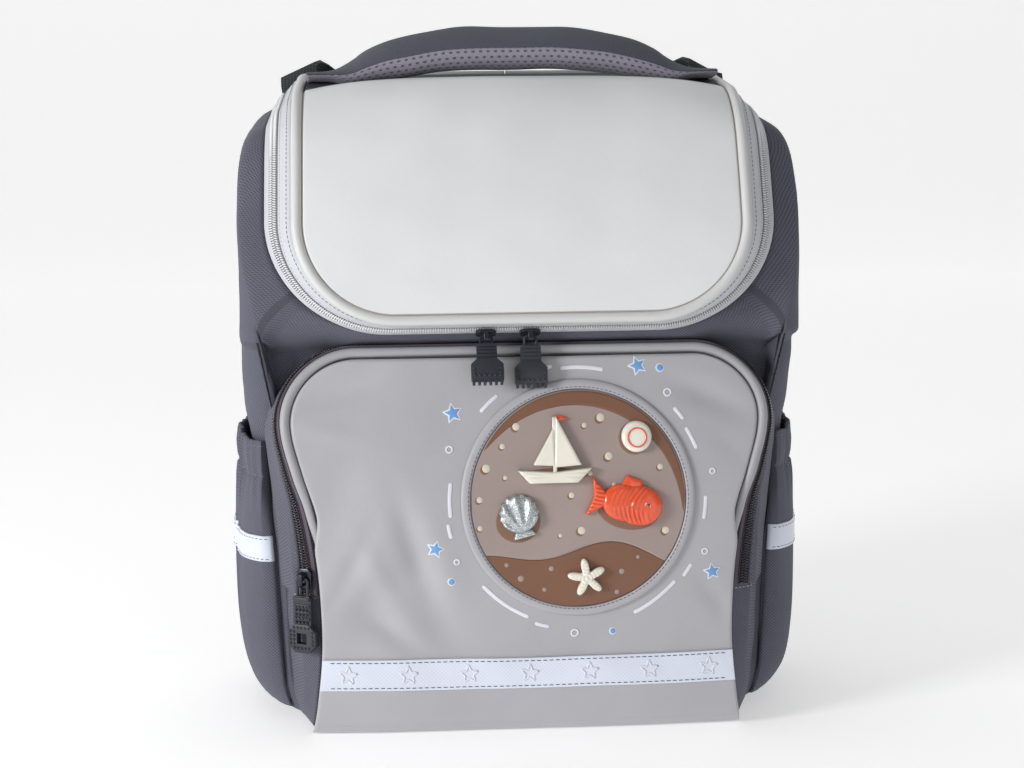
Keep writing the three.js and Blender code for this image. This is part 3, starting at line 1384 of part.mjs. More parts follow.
// A point of the lid's zipped lower edge.
function lowZip(x, depth, lift) {
  const out = lift / Math.hypot(1, lidLowFlare);
  return onLid(x, -lidLowFlare * depth - out, -depth + lidLowFlare * out);
}

function makePulls() {
  const depth = 2 * lidPipingRadius - lidTapeTuck + lidTapeWidth + lidChainWidth / 2;
  const seat = lidChainHeight / 2 + pieceGap;
  ["left", "right"].forEach((name, i) => {
    const x = sliderPairCentre + (i - 0.5) * sliderPairGap;
    const at = lowZip(x, depth, seat);
    const out = lowZip(x, depth, seat + 1).sub(at).normalize();
    const across = point(1, 0, 0);
    const slider = addMesh(`lid_slider_${name}`, sliderGeometry(sliderLength, sliderWidth), darkMetal);
    const basis = new THREE.Matrix4().makeBasis(across, out.clone().cross(across), out);
    slider.quaternion.setFromRotationMatrix(basis);
    slider.position.copy(at);
    const geometry = pullGeometry({
      eyeLength: lidPullEye,
      strap: lidPullStrap,
      width: lidPullWidth,
      block: lidPullBlock,
      comb: true,
    });
    const pull = addMesh(`lid_pull_${name}`, geometry, blackRubber);
    pull.position.copy(at).addScaledVector(out, eyeHeight);
    pull.rotation.x = -degrees(lidPullTilts[i]);
  });

  const index = Array.from({ length: highMarks }, (_, i) => zipMark + i).find(
    (i) => pocketLoopPoint(i + 1, 0).z > pocketSliderHeight,
  );
  const middle = pocketChainSetback + pocketChainWidth / 2;
  const [low, high] = [index, index + 1].map((i) => pocketSkin(i, zipShare(i, middle), pocketChainHeight));
  const share = (pocketSliderHeight - low.z) / (high.z - low.z);
  const under = [index, index + 1].map((i) => pocketSkin(i, zipShare(i, middle), 0));
  const at = low.clone().lerp(high, share);
  const out = at.clone().sub(under[0].lerp(under[1], share)).setZ(0).normalize();
  const up = point(0, 0, 1);
  const across = up.clone().cross(out);
  const slider = addMesh("pocket_slider", sliderGeometry(sliderWidth, sliderLength), darkMetal);
  slider.quaternion.setFromRotationMatrix(new THREE.Matrix4().makeBasis(across, up, out));
  slider.position.copy(at).addScaledVector(out, 2 * pieceGap);
  const geometry = pullGeometry({
    eyeLength: pocketPullEye,
    strap: pocketPullStrap,
    width: pocketPullWidth,
    block: pocketPullBlock,
    hole: pocketPullHole,
  });
  const pull = addMesh("pocket_pull", geometry, blackRubber);
  const basis = new THREE.Matrix4().makeBasis(across, out.clone().negate(), up);
  pull.quaternion.setFromRotationMatrix(basis);
  pull.position.copy(slider.position).addScaledVector(out, eyeHeight);
}

makeBody();
makeLid();
makePocket();
makeBadge();
makeMotifs();
makeSidePockets();
makeHandle();
makeBackPanel();
makeStrap("left", -1);
makeStrap("right", 1);
makePulls();

export default bag;
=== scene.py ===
# A child's school backpack with a stiff zipped lid, a front pocket with a round badge, gathered side
# pockets, a padded handle and shoulder straps. Lengths below are in millimetres and become metres
# where a mesh is made. X runs to the right as the bag is seen from its front, Y towards its back, Z up.
import math

import bmesh
import bpy
import numpy as np
from mathutils import Matrix, Vector


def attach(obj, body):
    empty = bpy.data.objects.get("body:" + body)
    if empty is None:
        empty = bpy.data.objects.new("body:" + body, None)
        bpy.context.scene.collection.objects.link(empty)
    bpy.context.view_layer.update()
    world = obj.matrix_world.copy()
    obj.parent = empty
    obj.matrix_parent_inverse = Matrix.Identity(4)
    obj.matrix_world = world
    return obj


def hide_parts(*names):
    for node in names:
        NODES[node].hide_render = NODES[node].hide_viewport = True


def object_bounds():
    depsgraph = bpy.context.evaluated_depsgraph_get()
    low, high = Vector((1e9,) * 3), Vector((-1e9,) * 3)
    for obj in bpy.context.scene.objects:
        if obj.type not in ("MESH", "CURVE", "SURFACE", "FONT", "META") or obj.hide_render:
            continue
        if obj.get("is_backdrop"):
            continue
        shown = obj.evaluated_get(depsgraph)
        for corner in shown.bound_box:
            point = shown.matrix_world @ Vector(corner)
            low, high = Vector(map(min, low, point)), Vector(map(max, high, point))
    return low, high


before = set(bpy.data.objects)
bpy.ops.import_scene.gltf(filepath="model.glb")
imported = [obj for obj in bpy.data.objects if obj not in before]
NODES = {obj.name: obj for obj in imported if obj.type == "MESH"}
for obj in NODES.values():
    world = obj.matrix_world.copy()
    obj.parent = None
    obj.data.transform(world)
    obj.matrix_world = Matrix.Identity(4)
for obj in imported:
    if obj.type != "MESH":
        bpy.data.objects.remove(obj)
cad_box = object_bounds()
MM = 0.001
PI = math.pi
rng = np.random.default_rng(7)

# Sizes shared with the solids
BAG_HEIGHT, BAG_WIDTH, BODY_DEPTH, CLOTH_WALL, GAP = 361, 309, 120, 2.6, 0.3
BASE_FRONT_CORNER, BASE_BACK_CORNER, SIDE_BULGE, LEDGE_HEIGHT = 30, 16, 2, 10
LID_TOP_RUN, LID_BROW_RADIUS, LID_FACE_RADIUS = 88, 52, 310
LID_TOP, LID_BROW, LID_LOW = (math.radians(a) for a in (5, 64, 82))
LID_HALF, LID_TAPER, LID_CORNER, LID_BACK_CORNER = 122.5, 3, 54, 12
LID_DEPTH, LID_FLARE, LID_LOW_FLARE, LID_WALL, LID_CROWN = 22, 0.88, 0.35, 2.4, 4
LID_EDGE_DROP, LID_PIPING, TOP_SEAM, LID_TOP_CROWN, LID_SEAM_FALL = 1.5, 2.9, 2, 7, 13
TAPE_WALL, LID_TAPE_TUCK, LID_TAPE_WIDTH, LID_CHAIN_WIDTH, LID_CHAIN_HEIGHT = 1.6, 0.7, 6.9, 5, 2.2
POCKET_GAP, POCKET_HALF, POCKET_DEPTH, POCKET_CORNER, POCKET_FOOT_CORNER = 17, 133.6, 46, 42, 7
POCKET_WALL, POCKET_PIPING, POCKET_TUCK, TUCK_FOOT, TUCK_TOP = 2, 2.6, 3.5, 104, 148
EDGE_FALL, SHEET_DROP, SHEET_MARGIN, ZIP_FOOT, ZIP_BAND = 7, 1, 0.8, 80, 12.5
CHAIN_SETBACK, CHAIN_WIDTH, CHAIN_HEIGHT, FLAP = 3, 5.6, 2.4, 1.8
BAND_FOOT, BAND_HEIGHT, BAND_THICKNESS = 28.5, 17.5, 0.9
BADGE_X, BADGE_Z, BADGE_RADIUS, BADGE_RIM, BADGE_THICKNESS = 27.5, 133, 64, 5, 1.3
SEWN_SEAT, MOTIF_LIFT = 0.5, 4.5
SIDE_TOP, SIDE_FOOT, SIDE_POCKET_BULGE, SIDE_WALL, SIDE_MARGIN, HEM = 160, 6, 9, 2, 4, 20
HINGE_INSET, HINGE_ROUND = 0.45, 1.5
GATHER_DEPTH, GATHERS, SIDE_BAND_FOOT, SIDE_BAND_HEIGHT = 2.2, 3.5, 92, 14
HANDLE_HALF, HANDLE_WIDTH, HANDLE_THICK, HANDLE_END, HANDLE_RISE = 116, 40, 18, 4.5, 9.5
HANDLE_TILT, HANDLE_SETBACK = math.radians(20), 29
BACK_THICK, BACK_HALF, BACK_FOOT, BACK_TOP, BACK_CORNER = 10, 104, 14, 345, 34
STRAP_WIDTH, STRAP_THICK, STRAP_RUN, STRAP_FOOT_RUN = 58, 10, 64, 94
STRAP_TOP, STRAP_LENGTH, STRAP_REACH = 338, 236, 36
BACK_Y, FRONT_Y, HALF_WIDTH = BODY_DEPTH / 2, -BODY_DEPTH / 2, BAG_WIDTH / 2
BODY_SKIN, BADGE_FACE = 2.4, BADGE_THICKNESS * 0.8
PRINT_BASE = BADGE_FACE - 0.1


# Small numeric helpers
def smooth(x, low, high):
    t = np.clip((np.asarray(x, float) - low) / (high - low), 0, 1)
    return t * t * (3 - 2 * t)


def lerp(a, b, t):
    return a + (b - a) * t


def table(names, rows):
    return {name: np.array([row[i] for row in rows], float) for i, name in enumerate(names)}


def column(t, name, share, key):
    """A column of a table at any share of its key column, smooth through its rows."""
    k, v = t[key], t[name]
    slope = np.empty(len(k))
    slope[1:-1] = (v[2:] - v[:-2]) / (k[2:] - k[:-2])
    slope[0], slope[-1] = (v[1] - v[0]) / (k[1] - k[0]), (v[-1] - v[-2]) / (k[-1] - k[-2])
    share = np.asarray(share, float)
    i = np.clip(np.searchsorted(k, share, side="left") - 1, 0, len(k) - 2)
    span = k[i + 1] - k[i]
    f = np.clip((share - k[i]) / span, 0, 1)
    blend = f * f * (3 - 2 * f)
    bend = span * (slope[i] * f * (1 - f) ** 2 - slope[i + 1] * f * f * (1 - f))
    return v[i] * (1 - blend) + v[i + 1] * blend + bend


def stack(x, y, z):
    x, y, z = np.broadcast_arrays(np.asarray(x, float), np.asarray(y, float), np.asarray(z, float))
    return np.stack([x, y, z], -1)


def unit(v):
    return v / np.maximum(np.linalg.norm(v, axis=-1, keepdims=True), 1e-9)


WAVES = rng.normal(size=(60, 3))
WAVES /= np.linalg.norm(WAVES, axis=1, keepdims=True)
PHASES = rng.uniform(0, 2 * PI, 60)


def ripple(p, size, seed=0, count=7):
    """Smooth noise between about -1 and 1 at points p, with bumps of about that size."""
    out = np.zeros(p.shape[:-1])
    for k in range(count):
        i = (seed * 7 + k) % 60
        out += np.sin(p @ WAVES[i] * (2 * PI / size) * (0.7 + 0.6 * k / count) + PHASES[i])
    return out / math.sqrt(count)


# Mesh makers
def place_object(name, data):
    obj = bpy.data.objects.new(name, data)
    bpy.context.scene.collection.objects.link(obj)
    return obj


def make(name, verts, faces, material, body="bag", uv=None, replaces=(), slot=None):
    mesh = bpy.data.meshes.new(name)
    mesh.from_pydata((np.asarray(verts, float) * MM).tolist(), [], faces)
    if uv is not None:
        layer = mesh.uv_layers.new(name="weave")
        layer.data.foreach_set("uv", np.asarray(uv, np.float32).ravel())
    mesh.polygons.foreach_set("use_smooth", [True] * len(mesh.polygons))
    mesh.materials.append(material)
    bm = bmesh.new()
    bm.from_mesh(mesh)
    bmesh.ops.recalc_face_normals(bm, faces=bm.faces)
    bm.to_mesh(mesh)
    bm.free()
    obj = place_object(name, mesh)
    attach(obj, body)
    if replaces:
        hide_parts(*replaces)
    return obj


def grid_faces(nu, nv, u_closed, v_closed):
    """The quads of a grid of points, and each quad's corners as places in the grid."""
    iu = np.arange(nu if u_closed else nu - 1)
    iv = np.arange(nv if v_closed else nv - 1)
    a, b = np.meshgrid(iu, iv, indexing="ij")
    a2, b2 = (a + 1) % nu, (b + 1) % nv
    quads = np.stack([a * nv + b, a2 * nv + b, a2 * nv + b2, a * nv + b2], -1)
    pairs = [np.stack(pair, -1) for pair in ((a, b), (a + 1, b), (a + 1, b + 1), (a, b + 1))]
    return quads.reshape(-1, 4), np.stack(pairs, -2).reshape(-1, 4, 2)


def lengths(points, closed):
    """Distance along a line of points, in mm, one more than the points if it closes."""
    p = np.vstack([points, points[:1]]) if closed else points
    return np.concatenate([[0], np.cumsum(np.linalg.norm(np.diff(p, axis=0), axis=1))])


def sheet_mesh(name, grid, material, u_closed=False, v_closed=False, caps=False, weave=None, **kw):
    """A mesh over a grid of points (u, v, 3), with a weave map in centimetres along both ways."""
    nu, nv = grid.shape[:2]
    quads, corners = grid_faces(nu, nv, u_closed, v_closed)
    if weave is None:
        us = lengths(grid[:, nv // 3], u_closed)
        vs = lengths(grid[nu // 2], v_closed)
    else:
        us, vs = weave
    uv = np.stack([us[corners[..., 0]], vs[corners[..., 1]]], -1) / 10
    faces = quads.tolist()
    uv = uv.reshape(-1, 2).tolist()
    if caps:
        faces.append(list(range(nv))[::-1])
        faces.append([(nu - 1) * nv + i for i in range(nv)])
        uv.extend([(0.0, 0.0)] * (2 * nv))
    return make(name, grid.reshape(-1, 3), faces, material, uv=uv, **kw)


def tube(name, path, radius, material, sides, **kw):
    """A round cord along a path."""
    tangent = unit(np.gradient(path, axis=0))
    side = np.empty_like(path)
    first = np.cross(tangent[0], np.array([0.3, 0.47, 0.83]))
    side[0] = first / np.linalg.norm(first)
    for i in range(1, len(path)):
        s = side[i - 1] - np.dot(side[i - 1], tangent[i]) * tangent[i]
        side[i] = s / np.linalg.norm(s)
    up = np.cross(tangent, side)
    a = np.linspace(0, 2 * PI, sides, endpoint=False)
    r = np.broadcast_to(np.asarray(radius, float), (len(path),))[:, None, None]
    ring = side[:, None] * np.cos(a)[None, :, None] + up[:, None] * np.sin(a)[None, :, None]
    grid = path[:, None] + ring * r
    return sheet_mesh(name, grid, material, v_closed=True, caps=True, **kw)


def merged(name, parts, material, **kw):
    """One mesh of many small (points, faces) parts."""
    verts, faces, start = [], [], 0
    for p, f in parts:
        verts.append(p)
        faces.extend([[i + start for i in face] for face in f])
        start += len(p)
    return make(name, np.vstack(verts), faces, material, **kw)


def repeat(shape, frames):
    """Copies of one small shape (points, faces) placed by origins and axes (n, 3, 4)."""
    points, faces = shape
    placed = np.einsum("nij,kj->nki", frames[:, :, :3], points) + frames[:, None, :, 3]
    starts = np.arange(len(frames)) * len(points)
    all_faces = np.asarray(faces)[None] + starts[:, None, None]
    return placed.reshape(-1, 3), all_faces.reshape(-1, len(faces[0])).tolist()


def resample(path, step):
    """Points at equal steps along a path, with the step trimmed to fit."""
    at = lengths(path, False)
    count = max(2, int(round(at[-1] / step)) + 1)
    want = np.linspace(0, at[-1], count)
    return np.stack([np.interp(want, at, path[:, k]) for k in range(3)], -1)


# Materials
def srgb(r, g, b):
    def channel(c):
        c /= 255
        return c / 12.92 if c <= 0.04045 else ((c + 0.055) / 1.055) ** 2.4

    return (channel(r), channel(g), channel(b), 1.0)


class Web:
    """A material whose nodes are written as calls."""

    def __init__(self, name, rough=0.5, **values):
        self.mat = bpy.data.materials.new(name)
        self.mat.use_nodes = True
        self.tree = self.mat.node_tree
        self.shader = self.tree.nodes["Principled BSDF"]
        self.set("Roughness", rough)
        for key, value in values.items():
            self.set(key.replace("_", " "), value)

    def feed(self, target, value):
        if isinstance(value, bpy.types.NodeSocket):
            self.tree.links.new(value, target)
        else:
            target.default_value = value

    def set(self, socket, value):
        self.feed(self.shader.inputs[socket], value)

    def node(self, kind, inputs=(), out=0, **props):
        n = self.tree.nodes.new(kind)
        for key, value in props.items():
            setattr(n, key, value)
        for key, value in dict(inputs).items():
            self.feed(n.inputs[key], value)
        return n.outputs[out]

    def math(self, operation, a, b=0.0):
        return self.node("ShaderNodeMath", {0: a, 1: b}, operation=operation)

    def plus(self, a, b):
        return self.math("ADD", a, b)

    def times(self, a, b):
        return self.math("MULTIPLY", a, b)

    def weave(self):
        uv = self.node("ShaderNodeUVMap", uv_map="weave")
        split = self.tree.nodes.new("ShaderNodeSeparateXYZ")
        self.tree.links.new(uv, split.inputs[0])
        return split.outputs[0], split.outputs[1]

    def place(self):
        return self.node("ShaderNodeTexCoord", out=3)

    def noise(self, scale, detail=2.0, rough=0.5):
        keys = {"Vector": self.place(), "Scale": scale, "Detail": detail, "Roughness": rough}
        return self.node("ShaderNodeTexNoise", keys)

    def remap(self, value, low, high, to_low, to_high):
        keys = {"Value": value, "From Min": low, "From Max": high, "To Min": to_low, "To Max": to_high}
        return self.node("ShaderNodeMapRange", keys)

    def wave(self, a, b, along, over, pitch):
        """A sine of pitch mm across the line a * along + b * over of the weave map, from 0 to 1."""
        turn = 2 * PI * 10 / pitch
        line = self.plus(self.times(a, along * turn), self.times(b, over * turn))
        return self.half(self.math("SINE", line))

    def half(self, value):
        return self.plus(self.times(value, 0.5), 0.5)

    def mix(self, factor, a, b):
        n = self.tree.nodes.new("ShaderNodeMix")
        n.data_type = "RGBA"
        for index, value in ((0, factor), (6, a), (7, b)):
            self.feed(n.inputs[index], value)
        return n.outputs[2]

    def shade(self, color, factor):
        """A colour made darker or lighter by a factor."""
        n = self.tree.nodes.new("ShaderNodeVectorMath")
        n.operation = "SCALE"
        self.feed(n.inputs[0], color[:3])
        self.feed(n.inputs[3], factor)
        return n.outputs[0]

    def bump(self, height, distance, strength=1.0, normal=None):
        keys = {"Height": height, "Distance": distance, "Strength": strength}
        if normal:
            keys["Normal"] = normal
        return self.node("ShaderNodeBump", keys)


def twill(name, color, pitch=1.35, contrast=0.4, relief=0.00022, rough=0.9, sheen=0.06):
    """Diagonal ribs of short floats, with flecked yarn."""
    w = Web(name, rough, Sheen_Weight=sheen, Sheen_Roughness=0.6, Specular_IOR_Level=0.3)
    u, v = w.weave()
    rib = w.wave(u, v, 0.74, -0.67, pitch)
    over = w.wave(u, v, 0.67, 0.74, pitch * 0.9)
    height = w.plus(w.times(rib, 0.5), w.times(over, 0.5))
    fleck = w.noise(2600, 1.5)
    cloud = w.noise(22, 3)
    tone = w.remap(height, 0.15, 0.85, 1 - contrast, 1 + contrast * 0.7)
    tone = w.times(tone, w.remap(fleck, 0.3, 0.7, 0.86, 1.14))
    tone = w.times(tone, w.remap(cloud, 0.3, 0.7, 0.93, 1.07))
    w.set("Base Color", w.shade(color, tone))
    w.set("Normal", w.bump(w.plus(height, w.times(fleck, 0.35)), relief, 0.9))
    return w.mat


def coated(name, color, rough=0.46, grain=0.00006, wash=0.035):
    """Coated sheet: a faint fine grain, slow changes of tone and of gloss."""
    w = Web(name, Specular_IOR_Level=0.42)
    fine = w.noise(1500, 2, 0.6)
    cells = w.node("ShaderNodeTexVoronoi", {"Vector": w.place(), "Scale": 1150.0}, feature="SMOOTH_F1")
    slow = w.noise(9, 4)
    soft = w.noise(34, 3)
    tone = w.plus(w.remap(slow, 0.3, 0.7, 1 - wash, 1 + wash), w.remap(fine, 0.3, 0.7, -0.015, 0.015))
    w.set("Base Color", w.shade(color, tone))
    w.set("Roughness", w.remap(soft, 0.3, 0.7, rough - 0.05, rough + 0.07))
    fine_bump = w.bump(w.plus(w.times(cells, 0.6), fine), grain, 0.8)
    w.set("Normal", w.bump(soft, 0.0006, 0.35, fine_bump))
    return w.mat


def tape(name, color, pitch=0.9, relief=0.00018, rough=0.8, contrast=0.14):
    """Woven tape with a herringbone rib."""
    w = Web(name, rough, Sheen_Weight=0.15)
    u, v = w.weave()
    band, turn = 3.2, 2 * PI / pitch
    turned = w.math("ABSOLUTE", w.math("SUBTRACT", w.math("FRACT", w.times(v, 10 / band)), 0.5))
    rib = w.half(w.math("SINE", w.plus(w.times(u, 10 * turn), w.times(turned, band * turn))))
    fleck = w.noise(2400, 1.5)
    tone = w.remap(rib, 0, 1, 1 - contrast, 1 + contrast * 0.4)
    tone = w.times(tone, w.remap(fleck, 0.3, 0.7, 0.95, 1.05))
    w.set("Base Color", w.shade(color, tone))
    w.set("Normal", w.bump(rib, relief, 0.8))
    return w.mat


def webbing(name, color, pitch=1.5):
    w = Web(name, 0.75, Sheen_Weight=0.2)
    u, v = w.weave()
    warp = w.wave(u, v, 0, 1, 1.9)
    weft = w.wave(u, v, 1, 0, pitch)
    height = w.times(warp, w.remap(weft, 0, 1, 0.45, 1))
    w.set("Base Color", w.shade(color, w.remap(height, 0, 1, 0.6, 1.35)))
    w.set("Normal", w.bump(height, 0.0003, 0.9))
    return w.mat


def open_mesh(name, color, hole_color, pitch_u=5.6, pitch_v=3.1, hole=(0.36, 0.3)):
    """Knitted mesh with staggered dark slots."""
    w = Web(name, 0.85, Sheen_Weight=0.3)
    u, v = w.weave()
    row = w.times(v, 10 / pitch_v)
    odd = w.times(w.math("FRACT", w.times(w.math("FLOOR", row), 0.5)), 1.0)
    du = w.math("SUBTRACT", w.math("FRACT", w.plus(w.times(u, 10 / pitch_u), odd)), 0.5)
    dv = w.math("SUBTRACT", w.math("FRACT", row), 0.5)
    far = w.plus(w.math("POWER", w.math("ABSOLUTE", w.math("DIVIDE", du, hole[0])), 2.0),
                 w.math("POWER", w.math("ABSOLUTE", w.math("DIVIDE", dv, hole[1])), 2.0))
    solid = w.remap(far, 0.7, 1.25, 0, 1)
    knit = w.wave(u, v, 0.9, 0.4, 0.8)
    fleck = w.noise(2500, 1.5)
    tone = w.times(w.remap(knit, 0, 1, 0.86, 1.08), w.remap(fleck, 0.3, 0.7, 0.9, 1.1))
    cloth = w.shade(color, tone)
    w.set("Base Color", w.mix(solid, hole_color, cloth))
    w.set("Normal", w.bump(w.plus(solid, w.times(knit, 0.2)), 0.0007, 0.9))
    return w.mat


def plain(name, color, rough=0.4, grain=0.00004, scale=1800.0, **values):
    """Moulded or printed surface with a little grain and change of gloss."""
    w = Web(name, rough, **values)
    fine = w.noise(scale, 2)
    slow = w.noise(60, 3)
    w.set("Base Color", w.shade(color, w.remap(slow, 0.3, 0.7, 0.95, 1.05)))
    w.set("Roughness", w.remap(slow, 0.3, 0.7, rough * 0.88, rough * 1.12))
    w.set("Normal", w.bump(fine, grain, 0.7))
    return w.mat


def hammered(name, color):
    """Silver glitter lacquer over small dents."""
    w = Web(name, 0.3, Metallic=0.75)
    dents = w.node("ShaderNodeTexVoronoi", {"Vector": w.place(), "Scale": 1300.0}, feature="SMOOTH_F1")
    flakes = w.node("ShaderNodeTexVoronoi", {"Vector": w.place(), "Scale": 2600.0}, out=1)
    bright = w.node("ShaderNodeSeparateColor", {"Color": flakes})
    w.set("Base Color", w.shade(color, w.remap(bright, 0, 1, 0.55, 1.5)))
    w.set("Roughness", w.remap(bright, 0, 1, 0.2, 0.5))
    w.set("Normal", w.bump(w.plus(dents, w.times(bright, 0.25)), 0.00028, 0.9))
    return w.mat


def prismatic(name, color):
    """Reflective sheet: a fine diamond lattice under clear film."""
    w = Web(name, 0.32, Coat_Weight=0.5, Coat_Roughness=0.2)
    u, v = w.weave()
    one = w.wave(u, v, 0.71, 0.71, 1.6)
    two = w.wave(u, v, 0.71, -0.71, 1.6)
    lattice = w.times(one, two)
    slow = w.noise(25, 3)
    tone = w.times(w.remap(lattice, 0, 1, 0.94, 1.05), w.remap(slow, 0.3, 0.7, 0.93, 1.06))
    w.set("Base Color", w.shade(color, tone))
    w.set("Normal", w.bump(lattice, 0.00003, 0.5))
    return w.mat


GREY = srgb(94, 95, 108)
M_TWILL = twill("grey_twill", GREY)
M_TWILL_DARK = twill("dark_twill", srgb(84, 86, 98))
M_LID = coated("cream_sheet", srgb(224, 225, 226), 0.4)
# The lid's piping is the lid's own cream sheet; its colour is set darker than the lid's as painted shade on
# the round cord.
M_LID_PIPE_PAINTED_SHADE = coated("cream_piping_painted_shade", srgb(207, 208, 207), 0.42, wash=0.02)
M_POCKET = coated("grey_sheet", srgb(176, 175, 179), 0.42)
# The pocket's piping is the pocket's own grey sheet; its colour is set darker than the pocket's as painted
# shade on the round cord.
M_POCKET_PIPE_PAINTED_SHADE = coated("grey_piping_painted_shade", srgb(164, 164, 169), 0.42, wash=0.02)
M_WHITE_TAPE = tape("white_tape", srgb(208, 211, 217))
M_DARK_TAPE = tape("mauve_tape", srgb(94, 84, 96))
M_WHITE_COIL = plain("white_coil", srgb(226, 228, 230), 0.45)
M_DARK_COIL = plain("dark_coil", srgb(46, 42, 50), 0.22, Coat_Weight=0.5)
M_MESH = open_mesh("lilac_mesh", srgb(150, 146, 160), srgb(92, 88, 102), 4.2, 3.1, (0.24, 0.2))
M_BACK_MESH = open_mesh("dark_air_mesh", srgb(70, 71, 82), srgb(28, 28, 33), 3.6, 2.4, (0.34, 0.32))
M_WEB = webbing("black_webbing", srgb(34, 38, 42))
M_BAND = prismatic("reflective_sheet", srgb(222, 228, 243))
M_THREAD_DARK = plain("dark_thread", srgb(80, 80, 92), 0.8, 0.0001)
M_THREAD_GREY = plain("grey_thread", srgb(126, 124, 132), 0.8, 0.0001)
M_THREAD_PALE = plain("pale_thread", srgb(206, 206, 214), 0.75, 0.0001)
M_THREAD_CREAM = plain("cream_thread", srgb(196, 196, 198), 0.75, 0.0001)
M_RUBBER = plain("black_rubber", srgb(44, 47, 56), 0.5, 0.00005, Specular_IOR_Level=0.5)
M_BUCKLE = plain("black_plastic", srgb(30, 31, 35), 0.4)
M_METAL = plain("dark_metal", srgb(58, 60, 68), 0.3, 0.00003, Metallic=0.85)
# Painted shade: a brownish tone for the shade line where the lid's piping meets its panel.
M_LID_SEAM_PAINTED_SHADE = plain("lid_seam_shade", srgb(172, 160, 152), 0.7)
# Painted shade: a dark grey for the shade line where the pocket's piping meets its panel.
M_POCKET_SEAM_PAINTED_SHADE = plain("pocket_seam_shade", srgb(104, 101, 102), 0.7)
M_COIL_BASE = tape("coil_base_tape", srgb(150, 153, 160))
M_FIELD = coated("badge_field", srgb(162, 146, 141), 0.5)
M_GROUND = coated("badge_ground", srgb(126, 88, 68), 0.5)
M_SHADOW = coated("badge_shadow", srgb(132, 100, 82), 0.5)
M_RIM = coated("badge_rim", srgb(176, 175, 180), 0.45)
M_DOT = coated("badge_dot", srgb(214, 207, 190), 0.5)
M_ORANGE = plain("orange_gloss", srgb(236, 84, 36), 0.2, Coat_Weight=0.8, Coat_Roughness=0.08)
M_IVORY = plain("ivory_gloss", srgb(236, 232, 218), 0.22, Coat_Weight=0.7, Coat_Roughness=0.1)
M_NAVY = plain("navy_gloss", srgb(44, 50, 66), 0.25, Coat_Weight=0.6)
M_SILVER = hammered("silver_glitter", srgb(190, 196, 198))
M_PRINT_WHITE = plain("white_print", srgb(226, 226, 236), 0.5)
M_PRINT_BLUE = plain("blue_print", srgb(108, 160, 214), 0.45)


# The lid's profile: s runs along it from the lower edge, n square to it, outwards
FACE_LENGTH = LID_FACE_RADIUS * (LID_LOW - LID_BROW)
BROW_LENGTH = LID_BROW_RADIUS * (LID_BROW - LID_TOP)
LID_LENGTH = FACE_LENGTH + BROW_LENGTH + LID_TOP_RUN
LID_SEAM = FACE_LENGTH + BROW_LENGTH + TOP_SEAM


def lid_profile(s):
    s = np.asarray(s, float)
    first, second = np.clip(s, 0, FACE_LENGTH), np.clip(s - FACE_LENGTH, 0, BROW_LENGTH)
    third = np.maximum(0, s - FACE_LENGTH - BROW_LENGTH)
    one = LID_LOW - first / LID_FACE_RADIUS
    two = LID_BROW - second / LID_BROW_RADIUS
    y = LID_FACE_RADIUS * (math.sin(LID_LOW) - np.sin(one))
    y = y + LID_BROW_RADIUS * (math.sin(LID_BROW) - np.sin(two))
    z = LID_FACE_RADIUS * (np.cos(one) - math.cos(LID_LOW))
    z = z + LID_BROW_RADIUS * (np.cos(two) - math.cos(LID_BROW))
    y = y + third * math.cos(LID_TOP) + np.minimum(s, 0) * math.cos(LID_LOW)
    z = z + third * math.sin(LID_TOP) + np.minimum(s, 0) * math.sin(LID_LOW)
    return y, z, LID_LOW - first / LID_FACE_RADIUS - second / LID_BROW_RADIUS


end_y, end_z, _ = lid_profile(LID_LENGTH)
LID_START = (BACK_Y - CLOTH_WALL / 2 - float(end_y), BAG_HEIGHT - float(end_z))


def on_lid(x, s, n):
    """A point of the lid: x across, s along its profile, n out of its face."""
    y, z, heading = lid_profile(s)
    return stack(x, y + LID_START[0] - n * np.sin(heading), z + LID_START[1] + n * np.cos(heading))


def lid_half(s, depth, inset=0.0):
    """The lid's half width at s, at a depth below its face."""
    half = LID_HALF + LID_FLARE * depth - inset - LID_TAPER * s / LID_LENGTH
    low = -LID_LOW_FLARE * depth + inset
    radius = LID_CORNER + (LID_FLARE + LID_LOW_FLARE) * depth / 2 - inset
    above = np.maximum(0, radius - (s - low))
    return half - radius + np.sqrt(np.maximum(0, radius * radius - above * above))


def lid_loop(t, depth):
    """The lid's outline round the zip, t from the left back end to the right one."""
    t, depth = np.broadcast_arrays(np.asarray(t, float), np.asarray(depth, float))

    def parts(d):
        radius = LID_CORNER + (LID_FLARE + LID_LOW_FLARE) * d / 2
        low = -LID_LOW_FLARE * d
        back = LID_LENGTH - d * math.tan(LID_TOP) - GAP
        return radius, low, back, lid_half(low + radius, d) - radius

    radius, low, back, centre = parts(depth)
    r0, low0, back0, centre0 = parts(0.0)
    a, b = back0 - low0 - r0, PI * r0 / 2
    total = 2 * (a + b + centre0)
    side = np.where(t > 0.5, 1.0, -1.0)
    q = np.minimum(t, 1 - t) * total
    turn = np.clip((q - a) / b, 0, 1) * PI / 2
    s = np.where(q < a, lerp(back, low + radius, q / a), low + radius * (1 - np.sin(turn)))
    x = np.where(q < a, lid_half(s, depth), centre + radius * np.cos(turn))
    x = np.where(q > a + b, centre * (1 - (q - a - b) / centre0), x)
    out_x = np.where(q < a, 1.0, np.cos(turn))
    out_s = np.where(q < a, 0.0, -np.sin(turn))
    return side * x, s, side * out_x, out_s


def lid_side(t, depth, lift):
    """A point of the lid's zipped side: depth below the face, lifted off the side's own surface."""
    x, s, out_x, out_s = lid_loop(t, depth)
    flare = LID_FLARE * np.abs(out_x) + LID_LOW_FLARE * np.abs(out_s)
    out = lift / np.hypot(1, flare)
    return on_lid(x + out_x * out, s + out_s * out, -depth + flare * out)


